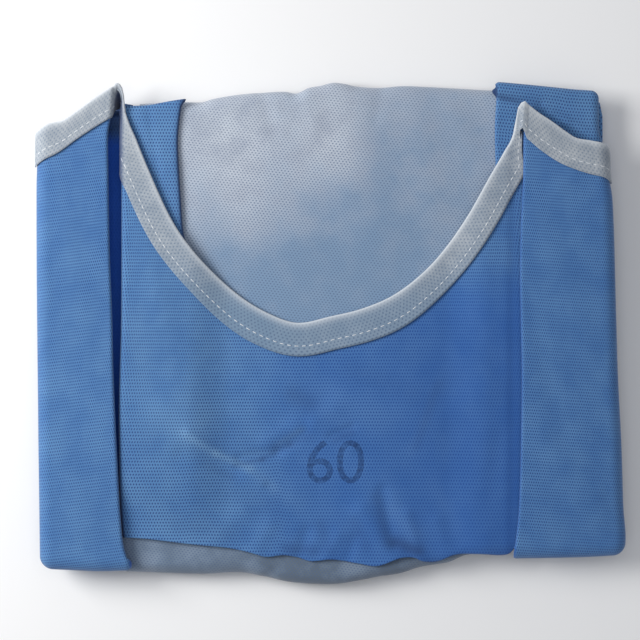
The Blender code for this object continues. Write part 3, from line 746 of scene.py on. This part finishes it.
FRONT_MIDDLE = 16.3
FRONT_SIDE = 20.2
GROOVE_FOLD = 3.0
SCOOP = {
    "x": (-120.1, -119.9, -113.9, -106.5, -95.5, -85.8, -69.9, -51.6, -33.3, -18.7,
          0, 18.3, 36.7, 53.7, 67.2, 80.6, 92.8, 101.3, 106.8, 108.1),
    "y": (139.0, 127.8, 111.9, 93.7, 69.3, 53.4, 35, 19.1, 8.8, 4.8,
          8.6, 13.1, 21, 33.8, 48.5, 68, 89.9, 104.6, 115.6, 127.8),
}
FRONT_FOLD = {
    "y": (-120, -110, -95, -78, -41, 8, 112, 128, 140),
    "x": (-121.5, -122.5, -123.1, -123.2, -123.4, -122.2, -121.9, -121.6, -121.6),
}
FRONT_FOOT = {
    "x": (-121, -106, -82, -60, -47, -38, -28, -19, -12, 0, 15, 27, 40, 48, 54, 62, 72, 86,
          103, 108, 113),
    "y": (-119, -120.1, -123, -125.3, -128, -130.5, -129.5, -131, -133, -132, -134.2, -135.8,
          -131.2, -130.8, -133.2, -133.2, -129.2, -128.6, -128.6, -123, -118),
}
FRONT_CREASES = (
    # the long soft ridge and the short folds that meet it, then those at the lower edge
    (-93, -45, -24, -92, 14, 1.2), (-83, -58, -40, -87, 2.6, 0.9), (-86, -70, -56, -80, 5, -0.9),
    (-53, -73, -31, -69, 3.2, -0.9), (-31, -69, -15, -58, 3.2, -0.8), (-36, -62, -22, -54, 5, 0.7),
    (-16, -56, 2, -44, 7, 0.6), (-10, -54, 12, -66, 4, 0.8), (0, -60, 12, -55, 2.4, -0.7),
    (18, -104, 40, -136, 6, 1.2), (30, -92, 37, -124, 3.6, -0.9), (44, -106, 52, -132, 4, 0.9),
    (-20, -134, -14, -116, 4, -0.8), (-46, -130, -36, -112, 5, 0.6), (70, -134, 62, -110, 5, 0.7),
    (-4, -134, 4, -118, 4, 0.7), (8, -136, 14, -120, 3.4, -0.6), (-70, -124, -52, -104, 6, 0.4),
    (48, -40, 82, -112, 12, 0.7), (-100, 20, -78, -60, 12, 0.6), (60, 30, 96, -20, 10, -0.5),
    (-60, 8, -20, -20, 9, 0.4), (20, 0, 60, -30, 10, 0.5), (-108, 60, -98, 10, 8, 0.4),
    (-40, -16, -4, -34, 8, -0.4), (66, -50, 92, -30, 8, 0.4), (88, -110, 98, -60, 6, -0.4),
)


def front_height(x, y):
    left = smooth((-58 - x) / 26) * (1 - 0.8 * smooth((-80 - y) / 38))
    right = smooth((x - 66) / 26)
    dip = 0.6 * smooth((x - 101) / 5)
    base = FRONT_MIDDLE + (FRONT_SIDE - FRONT_MIDDLE) * max(left, right) - dip
    return base + undulation(x, y) + folds(FRONT_CREASES, x, y)


def front_point(a, x_fold, y, lift=0.0):
    """A point of the front panel, a being its place across with the fold laid out."""
    start = x_fold + GROOVE_FOLD
    if a >= start:
        return Vector((a, y, front_height(a, y) + lift))
    far = start - a
    quarter = 0.5 * math.pi * GROOVE_FOLD
    top = front_height(start, y)
    if far <= quarter:
        turn = far / GROOVE_FOLD
        radius = GROOVE_FOLD + lift
        return Vector((start - radius * math.sin(turn), y,
                       top - GROOVE_FOLD + radius * math.cos(turn)))
    return Vector((x_fold - lift, y, top - GROOVE_FOLD - (far - quarter)))


def front_over_end(spot):
    """Lets the panel follow the fold at the lower end of the pile."""
    start = pale_foot_start(min(max(spot.x, -120), 100))
    if spot.y >= start:
        return spot
    radius = END_FOLD + spot.z - PALE_TOP - undulation(spot.x, -135)
    turn = math.asin(min((start - spot.y) / radius, 1.0))
    return Vector((spot.x, spot.y, spot.z - radius * (1 - math.cos(turn))))


front_rows = []
front_fold = [9.5 * (1 - k / 10) for k in range(10)]
columns = [235.5 * k / 150 for k in range(151)]
heights = [0.8 * k for k in range(15)] + [None] * 110
for n, near_foot in enumerate(heights):
    row = []
    for distance in [-far for far in front_fold] + columns:
        x = -118.8 + max(distance, 0)
        head = edge_y(SCOOP, min(max(x, -117.3), 106.4))
        low = edge_y(FRONT_FOOT, x)
        if near_foot is not None:
            y = low + near_foot
        else:
            start = low + heights[14]
            y = start + (head - start) * (n - 14) / 110
        x_fold = edge_x(FRONT_FOLD, y)
        start = x_fold + GROOVE_FOLD
        a = start + distance * (116.7 - start) / columns[-1]
        if distance < 0:
            a = start + distance * (1 - 0.62 * smooth((-62 - y) / 40))
        row.append(front_over_end(front_point(a, x_fold, y)))
    front_rows.append(row)


FRONT_PAINTED_HIGHLIGHTS = (
    # painted highlights where the cloth rises over the layers below, along its ridges: a line and its
    # amount
    (-97, -49, -82, -60, 8, 0.30), (-84, -40, -78, -50, 9, 0.30), (-86, -58, -67, -70, 2.4, 0.42),
    (-67, -70, -47, -79, 2.2, 0.62), (-47, -79, -33, -90, 3.2, 0.34), (-33, -90, -18, -101, 5, 0.20),
    (-5, -34, 28, -50, 10, 0.34), (-4, -46, 10, -54, 5, 0.30), (-30, -64, -17, -56, 1.8, 0.36),
    (-50, -71, -32, -69, 1.6, 0.22), (36, -104, 47, -117, 5, 0.46), (32, -84, 36, -100, 4, 0.22),
    (58, -42, 46, -70, 3, 0.22), (-112, 10, -108, -60, 8, 0.14), (20, 6, 44, -4, 12, 0.14),
    (-66, -6, -40, -14, 14, 0.18), (-96, 40, -80, 20, 12, 0.14), (70, -20, 84, -70, 8, 0.12),
    (0, -104, 12, -118, 5, 0.20), (-112, -96, -96, -108, 9, 0.14), (60, -88, 76, -118, 5, 0.18),
)
FRONT_PAINTED_SHADE = (
    # painted shade in the troughs between them
    (-22, -36, -13, -41, 6, 0.30), (-56, -77, -40, -73.5, 1.7, 0.36), (-40, -73.5, -24, -65, 1.8, 0.32),
    (-24, -65, -12, -60, 2.2, 0.22), (2, -62, 12, -58, 2.6, 0.30), (26, -96, 32, -122, 3.6, 0.26),
    (38, -122, 50, -127, 4, 0.62), (-26, -126, -10, -127, 4, 0.34), (-60, -92, -34, -100, 8, 0.12),
    (-6, -112, -2, -126, 4, 0.22), (-90, -112, -60, -116, 6, 0.12), (12, -22, 46, -34, 7, 0.10),
    (50, -66, 62, -30, 3, 0.16), (-74, -76, -58, -84, 3, 0.18), (14, -110, 20, -124, 4, 0.18),
)


def front_shade(column, x, y, z):
    """A deeper blue over the lower right of the panel, and a narrow band of painted shade beside the
    right back panel's crisp fold.
    """
    band = 0.10 * smooth((x - 98) / 7)
    deeper = 0.44 * smooth((x + 80) / 90) * smooth((50 - y) / 40) + 0.12 * smooth((x - 20) / 60)
    return band + deeper


def front_dark(column, x, y, z):
    """Painted shade inside the groove and in the troughs, and a little darker at the lower right."""
    low_right = 0.09 * smooth((x - 10) / 50) * smooth((30 - y) / 60)
    return 0.9 * smooth((9 - column) / 6) + 0.8 * folds(FRONT_PAINTED_SHADE, x, y) + low_right


front = lay_cloth("front_cloth", front_rows, BLUE_WALL, {
    "shade": front_shade,
    "dark": front_dark,
    # painted highlights along the front's ridges and raised patches
    "light": lambda column, x, y, z: folds(FRONT_PAINTED_HIGHLIGHTS, x, y),
})
put_on(front, blue, "blue_cloth", "front_panel")

# Back panels: the two halves of the open back, turned out over the sides of the pile.
# Blue nonwoven, folded crisply at the groove and loosely round the outside.

FLAP_TOP = 23.2
CRISP_FOLD = 1.6
SIDE_FOLD = 8.0
SIDE_DROP = 6.5
LEFT_FLAP_EDGE = {
    "y": (-137, -110, 0, 88, 102, 120),
    "x": (-169.3, -169.6, -170.9, -171.3, -171.0, -171.0),
}
LEFT_FLAP_FOOT = {
    "x": (-172, -160, -147, -136, -114),
    "y": (-137.1, -137.6, -138.2, -138.6, -138.4),
}
RIGHT_FLAP_FOLD = {
    "y": (-130, -121, -102, -65, -23, 7, 36, 63, 90, 112, 134),
    "x": (105.5, 106.8, 108.7, 109.9, 110.4, 109.9, 109.4, 109.9, 111.2, 111.5, 112.2),
}
RIGHT_FLAP_EDGE = {
    "y": (-130, -120, -114, -102, -65, -23, 7, 80, 94, 112),
    "x": (170.5, 171.4, 171.2, 170.2, 169, 167, 166.1, 163.8, 161.8, 161.2),
}
RIGHT_FLAP_FOOT = {
    "x": (104, 134, 155, 172),
    "y": (-131.3, -130.8, -130.1, -128.9),
}
RIGHT_NECK = {
    "x": (112, 119.7, 127, 135.5, 141.6, 150.2, 158.7, 164),
    "y": (132.8, 126.6, 121.8, 115.6, 111.8, 110.2, 108.3, 104.6),
}
LEFT_TAPE_FOOT = {
    "x": (-171, -158.3, -147.1, -137.1, -127.8, -124),
    "y": (98.3, 103.9, 111.9, 118.6, 124.2, 126.0),
}
RIGHT_TAPE_FOOT = {
    "x": (108, 112.5, 120.9, 131.8, 142.9, 152.5, 163),
    "y": (116.0, 113.1, 105.9, 98.6, 93.9, 91.2, 89.2),
}
FLAP_CREASES = (
    (-160, 90, -140, 20, 9, 0.3), (-146, 60, -132, -10, 7, -0.25), (-164, -60, -140, -110, 8, 0.3),
    (-150, -118, -134, -134, 6, 0.3), (-160, 106, -132, 110, 5, 0.25), (118, 70, 150, -10, 9, 0.3),
    (122, -60, 156, -104, 8, 0.3), (140, -100, 170, -126, 5, 0.35), (114, 20, 134, -60, 6, -0.25),
    (150, 100, 132, 84, 5, 0.3), (160, -96, 172, -110, 4, -0.4), (120, 112, 150, 92, 5, -0.2),
)


def flap_height(x, y):
    crown = 0.3 * math.sin(math.pi * min(max((abs(x) - 110) / 60, 0), 1))
    return FLAP_TOP + crown + undulation(x, y) + folds(FLAP_CREASES, x, y)


LEFT_FLAP = {
    "left": lambda y: edge_x(LEFT_FLAP_EDGE, y),
    "right": lambda y: edge_x(LEFT_FLAP_FOLD, y),
    "foot": lambda x: edge_y(LEFT_FLAP_FOOT, x),
    "neck": lambda x: edge_y(LEFT_NECK, x),
    "tape_foot": lambda x: edge_y(LEFT_TAPE_FOOT, x),
    "height": flap_height,
    "left_fold": (SIDE_FOLD, SIDE_DROP, 15.4, 14),
    "right_fold": (CRISP_FOLD, CRISP_FOLD, 7.5, 12),
    "foot_fold": (SIDE_FOLD, SIDE_DROP, 15.4, 14),
    "foot_share": lambda x: 1 - 0.4 * smooth((x + 138) / 12),
    "tuck": TUCK,
}
RIGHT_FLAP = {
    "left": lambda y: edge_x(RIGHT_FLAP_FOLD, y),
    "right": lambda y: edge_x(RIGHT_FLAP_EDGE, y),
    "foot": lambda x: edge_y(RIGHT_FLAP_FOOT, x),
    "neck": lambda x: edge_y(RIGHT_NECK, x),
    "tape_foot": lambda x: edge_y(RIGHT_TAPE_FOOT, x),
    "height": flap_height,
    "left_fold": (CRISP_FOLD, 1.3, 2.6, 5),
    "right_fold": (SIDE_FOLD, SIDE_DROP, 15.4, 14),
    "foot_fold": (SIDE_FOLD, SIDE_DROP, 15.4, 14),
    "foot_share": lambda x: 1 - 0.3 * smooth((122 - x) / 12),
    "tuck": TUCK,
}


def left_shade(column, x, y, z):
    """Painted shade round the crisp fold at the groove, and a slightly deeper blue towards the neck."""
    crisp = 0.85 * smooth((column - 52) / 4) * (1 - 0.85 * smooth((y - 127) / 5))
    return crisp + 0.04 + 0.05 * smooth((y - 20) / 70)


def right_shade(column, x, y, z):
    """A slightly deeper blue, and painted shade round the crisp fold that lies on the front."""
    return 0.10 + 0.5 * smooth((4 - column) / 3)


left_back = lay_cloth("left_back", folded_rows(LEFT_FLAP, 34, 150), BLUE_WALL,
                      {"shade": left_shade}, grain=(1.30, 1.06, -0.13))
right_back = lay_cloth("right_back", folded_rows(RIGHT_FLAP, 40, 150), BLUE_WALL,
                       {"shade": right_shade}, grain=(1.24, 1.09, 0.07))
put_on(left_back, blue, "blue_cloth", "back_panel_left")
put_on(right_back, blue, "blue_cloth", "back_panel_right")

# Neck binding: one pale tape folded over the raw neck edge of all three panels, and
# round both shoulder points. It is stitched down along its inner side.

TAPE_LIFT = 0.8
TAPE_WALL = 0.35
TAPE_ROUND = 0.75
TAPE_WIDE = 18.4
TAPE_NARROW = 15.8
STITCH_SHARE = 0.68
TAPE_STEPS = 12
TAPE_SHARES = [k / TAPE_STEPS for k in range(TAPE_STEPS + 1)]
TAPE_BONDS = (2.3, 1.7, 0.50, 0.60, 0.5)
LEFT_POINT = (
    # edge x, y, z, then inner side x, y, z
    (-124.6, 143.4, 24.2, -125.9, 129.5, 17.5),
    (-123.6, 143.6, 24.3, -125.2, 130.5, 12.5),
    (-122.4, 142.9, 24.3, -124.0, 131.5, 9.5),
    (-121.3, 141.0, 23.8, -123.2, 131.5, 9.5),
    (-120.6, 137.0, 22.6, -122.7, 130.5, 11.5),
)
RIGHT_POINT = (
    (107.8, 124.4, 22.8, 109.7, 112.6, 22.5),
    (108.6, 129.6, 23.6, 109.3, 115.4, 23.0),
    (110.2, 132.2, 24.8, 109.4, 117.4, 24.2),
    (112.0, 132.9, 25.9, 110.7, 118.4, 25.7),
)


def tape_section(upper, out):
    """Adds the turn round the raw edge and the short return below it."""
    edge = upper[0]
    below = [edge - out * back + Vector((0, 0, -2 * TAPE_ROUND)) for back in (3.0, 1.5)]
    turn = []
    for k in range(7):
        angle = -0.5 * math.pi + math.pi * k / 6
        turn.append(edge + out * TAPE_ROUND * math.cos(angle)
                    + Vector((0, 0, TAPE_ROUND * (math.sin(angle) - 1))))
    return below + turn + upper[1:]


def neckline(count):
    """Places along the round neckline at equal steps, with the way into the cloth."""
    fine = [(-120.0, 129.0)]
    for k in range(600):
        x = -119.9 + 227.8 * k / 599
        fine.append((x, edge_y(SCOOP, x)))
    lengths = [0.0]
    for a, b in zip(fine, fine[1:]):
        lengths.append(lengths[-1] + math.hypot(b[0] - a[0], b[1] - a[1]))
    places = []
    for k in range(count):
        at = 1.0 + (lengths[-1] - 9.0) * k / (count - 1)
        near = []
        for shift in (-5.0, 0.0, 5.0):
            where = min(max(at + shift, 0.0), lengths[-1])
            near.append((np.interp(where, lengths, [p[0] for p in fine]),
                         np.interp(where, lengths, [p[1] for p in fine])))
        tx = near[2][0] - near[0][0]
        ty = near[2][1] - near[0][1]
        size = math.hypot(tx, ty)
        places.append((near[1], (ty / size, -tx / size)))
    return places


def on_point(edge, inner):
    upper = [edge.lerp(inner, share) for share in TAPE_SHARES]
    out = edge - inner
    return tape_section(upper, Vector((out.x, out.y, 0)).normalized())


def on_flap(panel, u, beside):
    upper = [folded_point(panel, u, 1.0, beside, 0.0, TAPE_LIFT, share)
             for share in TAPE_SHARES]
    out = upper[0] - upper[-1]
    return tape_section(upper, Vector((out.x, out.y, 0)).normalized())


def on_front(place, inwards):
    width = TAPE_NARROW + (TAPE_WIDE - TAPE_NARROW) * smooth((70 - abs(place[0] + 6)) / 40)
    if inwards[0] < 0:
        lowest = edge_x(FRONT_FOLD, place[1]) - 6.0
        width = min(width, (lowest - place[0]) / inwards[0])
    if inwards[0] > 0:
        hidden = 4.5 * (1 - smooth((place[1] - 96) / 14)) - 0.6
        furthest = edge_x(RIGHT_FLAP_FOLD, place[1] - 6) + hidden
        width = min(width, (furthest - place[0]) / inwards[0])
    upper = []
    for share in TAPE_SHARES:
        a = place[0] + inwards[0] * width * share
        y = place[1] + inwards[1] * width * share
        upper.append(front_point(a, edge_x(FRONT_FOLD, y), y, TAPE_LIFT))
    return tape_section(upper, Vector((-inwards[0], -inwards[1], 0)))


def eased_rows(rows, steps):
    """Smooth in-between rows at the points, where the tape twists."""
    closer = []
    for a, b in zip(rows, rows[1:]):
        closer += [(a[0].lerp(b[0], k / steps), a[1].lerp(b[1], k / steps)) for k in range(steps)]
    return closer + [rows[-1]]


def tape_dark(column, x, y, z):
    """Painted shade where the tape dips into the groove at the left shoulder point."""
    return 0.9 * smooth((23.5 - z) / 4) * smooth((-119.6 - x) / 1.5) * smooth((x + 131) / 3)


def tape_blue(column, x, y, z):
    """The blue cloth below shows through, most at the bottom of the neckline."""
    left = 0.16 * smooth((112 - y) / 40) * smooth(-x / 40)
    right = 0.2 * smooth((x - 60) / 30) * smooth((108 - x) / 4)
    return 0.62 * smooth((56 - y) / 46) + left + right


tape_rows = [on_flap(LEFT_FLAP, 0.0, -12.5 * (1 - k / 12)) for k in range(12)]
tape_rows += [on_flap(LEFT_FLAP, k / 36, 0.0) for k in range(37)]
tape_rows += [on_flap(LEFT_FLAP, 1.0, far) for far in (0.6, 1.2, 1.9)]
left_turn = [(Vector(row[:3]), Vector(row[3:])) for row in LEFT_POINT]
tape_rows += [on_point(*pair) for pair in eased_rows(left_turn, 3)]
tape_rows += [on_front(place, inwards) for place, inwards in neckline(240)]
right_turn = [(Vector(row[:3]), Vector(row[3:])) for row in RIGHT_POINT]
tape_rows += [on_point(*pair) for pair in eased_rows(right_turn, 3)]
tape_rows += [on_flap(RIGHT_FLAP, k / 36, 0.0) for k in range(37)]
tape_rows += [on_flap(RIGHT_FLAP, 1.0, 12.5 * k / 12) for k in range(1, 13)]
binding = lay_cloth("neck_tape", [row[::-1] for row in tape_rows], TAPE_WALL, {
    # painted highlight along the tape's folded edge
    "crisp": lambda column, x, y, z: 0.75 * math.exp(-((column - 13.5) / 2.2) ** 2),
    "dark": tape_dark,
    "see_through": tape_blue,
}, squared=False)

TAPE = (0.290, 0.335, 0.390, 1.0)
TAPE_LIGHT = (0.450, 0.485, 0.520, 1.0)
TAPE_POINT = (0.095, 0.150, 0.255, 1.0)
TAPE_BLUE = (0.130, 0.235, 0.370, 1.0)
# Painted highlight along the tape's folded edge:
TAPE_EDGE_HIGHLIGHT = (0.720, 0.760, 0.800, 1.0)
tape, shader, wire = start_finish("pale_tape", 0.8, 0.3, 0.5)
place, across, upwards = flat_place(wire)
points = bond_points(upwards, across, *TAPE_BONDS)
ribs = (across + upwards * 0.8) * 5.2
fibres = wire.noise(place, 700.0, 3.0)
cloudy = wire.noise(place, 90.0, 4.0)
ground = (cloudy * 0.7 + fibres * 0.5).ease(0.4, 0.85).blend(TAPE, TAPE_LIGHT)
through = wire.tint("see_through")
ground = through.blend(ground, TAPE_BLUE)
ground = (points * (through * 0.35 + 0.50)).blend(ground, TAPE_POINT)
# Painted highlight along the folded edge.
crisp = wire.tint("crisp")
ground = crisp.blend(ground, TAPE_EDGE_HIGHLIGHT)
# Painted shade where the tape dips into the groove.
dark = wire.tint("dark")
ground = dark.blend(ground, BLUE_SHADOW)
wire.tree.links.new(ground.socket, shader.inputs["Base Color"])
rise = fibres * 0.4 + ribs.sum("SINE", ribs) * 0.08 - points * 0.7
emboss(wire, shader, rise, 0.6, BOND_DEPTH)
put_on(binding, tape, "pale_tape", "neck_binding")

# Stitching: one row of white lock stitches that holds the tape down, long stitches
# of spun polyester thread that sink into the cloth at both ends.

STITCH = 4.2
STITCH_GAP = 0.10
THREAD = 0.30
seam = []
for row in tape_rows:
    upper = row[-TAPE_STEPS - 1:]
    at = STITCH_SHARE * TAPE_STEPS
    low = int(at)
    seam.append(upper[low].lerp(upper[low + 1], at - low))
run = [0.0]
for a, b in zip(seam, seam[1:]):
    run.append(run[-1] + (b - a).length)


def on_seam(at):
    return Vector([np.interp(at, run, [spot[axis] for spot in seam]) for axis in range(3)])


thread = bmesh.new()
at = 1.0
while at + STITCH < run[-1]:
    start = on_seam(at)
    end = on_seam(at + STITCH)
    middle = on_seam(at + 0.5 * STITCH)
    ahead = (end - start).normalized()
    made = bmesh.ops.create_uvsphere(thread, u_segments=8, v_segments=8, radius=1.0)["verts"]
    turn = ahead.to_track_quat("Z", "Y").to_matrix().to_4x4()
    size = Matrix.Diagonal((THREAD, THREAD, 0.5 * (end - start).length + 0.15, 1.0))
    bmesh.ops.transform(thread, matrix=Matrix.Translation(middle) @ turn @ size, verts=made)
    for vert in made:
        share = (vert.co - middle).dot(ahead) / (0.5 * STITCH)
        vert.co.z += 0.24 - 0.34 * share * share
    at += STITCH + STITCH_GAP
bmesh.ops.scale(thread, vec=(MM, MM, MM), verts=thread.verts)
stitching = make_piece("stitching", thread)
white, shader, wire = start_finish("white_thread", 0.55, 0.2, 0.4)
place = wire.node("ShaderNodeTexCoord", {}, {}, 3)
twist = wire.noise(place, 1500.0, 2.0)
tone = twist.ease(0.3, 0.7).blend((0.62, 0.66, 0.70, 1.0), (0.85, 0.87, 0.88, 1.0))
wire.tree.links.new(tone.socket, shader.inputs["Base Color"])
stitching.data.materials.append(white)
stitching.data.shade_smooth()
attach(stitching, "root")

# Size mark: a plain number printed in thin blue ink on the front panel.

INK_HEIGHT = 0.05
letters = bpy.data.curves.new("size_mark", "FONT")
letters.body = "60"
letters.size = 0.036
letters.align_x = "CENTER"
letters.align_y = "CENTER"
sign = bpy.data.objects.new("size_mark_letters", letters)
scene.collection.objects.link(sign)
bpy.context.view_layer.update()
mesh = bpy.data.meshes.new_from_object(sign)
bpy.data.objects.remove(sign)
ink = bmesh.new()
ink.from_mesh(mesh)
bmesh.ops.remove_doubles(ink, verts=ink.verts, dist=1e-6)
bmesh.ops.translate(ink, vec=(0.0023, -0.0765, 0.0), verts=ink.verts)
for axis, low, count in ((Vector((1, 0, 0)), -0.024, 26), (Vector((0, 1, 0)), -0.100, 26)):
    for k in range(count):
        parts = ink.verts[:] + ink.edges[:] + ink.faces[:]
        bmesh.ops.bisect_plane(ink, geom=parts, plane_co=axis * (low + 0.0018 * k), plane_no=axis)
for vert in ink.verts:
    x, y = vert.co.x / MM, vert.co.y / MM
    vert.co.z = (front_height(x, y) + INK_HEIGHT) * MM
bmesh.ops.recalc_face_normals(ink, faces=ink.faces[:])
if sum(face.normal.z for face in ink.faces) < 0:
    bmesh.ops.reverse_faces(ink, faces=ink.faces[:])
ink.to_mesh(mesh)
ink.free()
size_mark = bpy.data.objects.new("size_mark", mesh)
scene.collection.objects.link(size_mark)
ink_finish, shader, wire = start_finish("size_ink", 0.8, 0.0, 0.5)
place = wire.node("ShaderNodeTexCoord", {}, {}, 3)
worn = wire.noise(place, 420.0, 4.0)
shader.inputs["Base Color"].default_value = (0.012, 0.035, 0.13, 1.0)
wire.tree.links.new(worn.ease(0.3, 0.7, 0.12, 0.38).socket, shader.inputs["Alpha"])
size_mark.data.materials.append(ink_finish)
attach(size_mark, "root")

# Studio: a pale floor, a large soft light from the left and a weak one from above.

ground = bmesh.new()
bmesh.ops.create_grid(ground, x_segments=1, y_segments=1, size=2.0)
floor = make_piece("floor", ground)
paper, shader, wire = start_finish("pale_floor", 0.9, 0.0, 0.5)
shader.inputs["Base Color"].default_value = (0.95, 0.95, 0.95, 1.0)
floor.data.materials.append(paper)


def soft_light(name, place, size, watts, colour):
    lamp = bpy.data.lights.new(name, "AREA")
    lamp.size = size
    lamp.energy = watts
    lamp.color = colour
    item = bpy.data.objects.new(name, lamp)
    item.location = place
    item.rotation_euler = (-Vector(place)).to_track_quat("-Z", "Y").to_euler()
    scene.collection.objects.link(item)


soft_light("key_light", (-0.78, 0.25, 0.60), 0.50, 9.4, (1.0, 0.99, 0.97))
soft_light("fill_light", (0.0, 0.1, 1.6), 1.2, 4.0, (0.97, 0.98, 1.0))
world = bpy.data.worlds.new("studio")
world.use_nodes = True
world.node_tree.nodes["Background"].inputs["Color"].default_value = (0.9, 0.93, 1.0, 1.0)
world.node_tree.nodes["Background"].inputs["Strength"].default_value = 0.30
scene.world = world
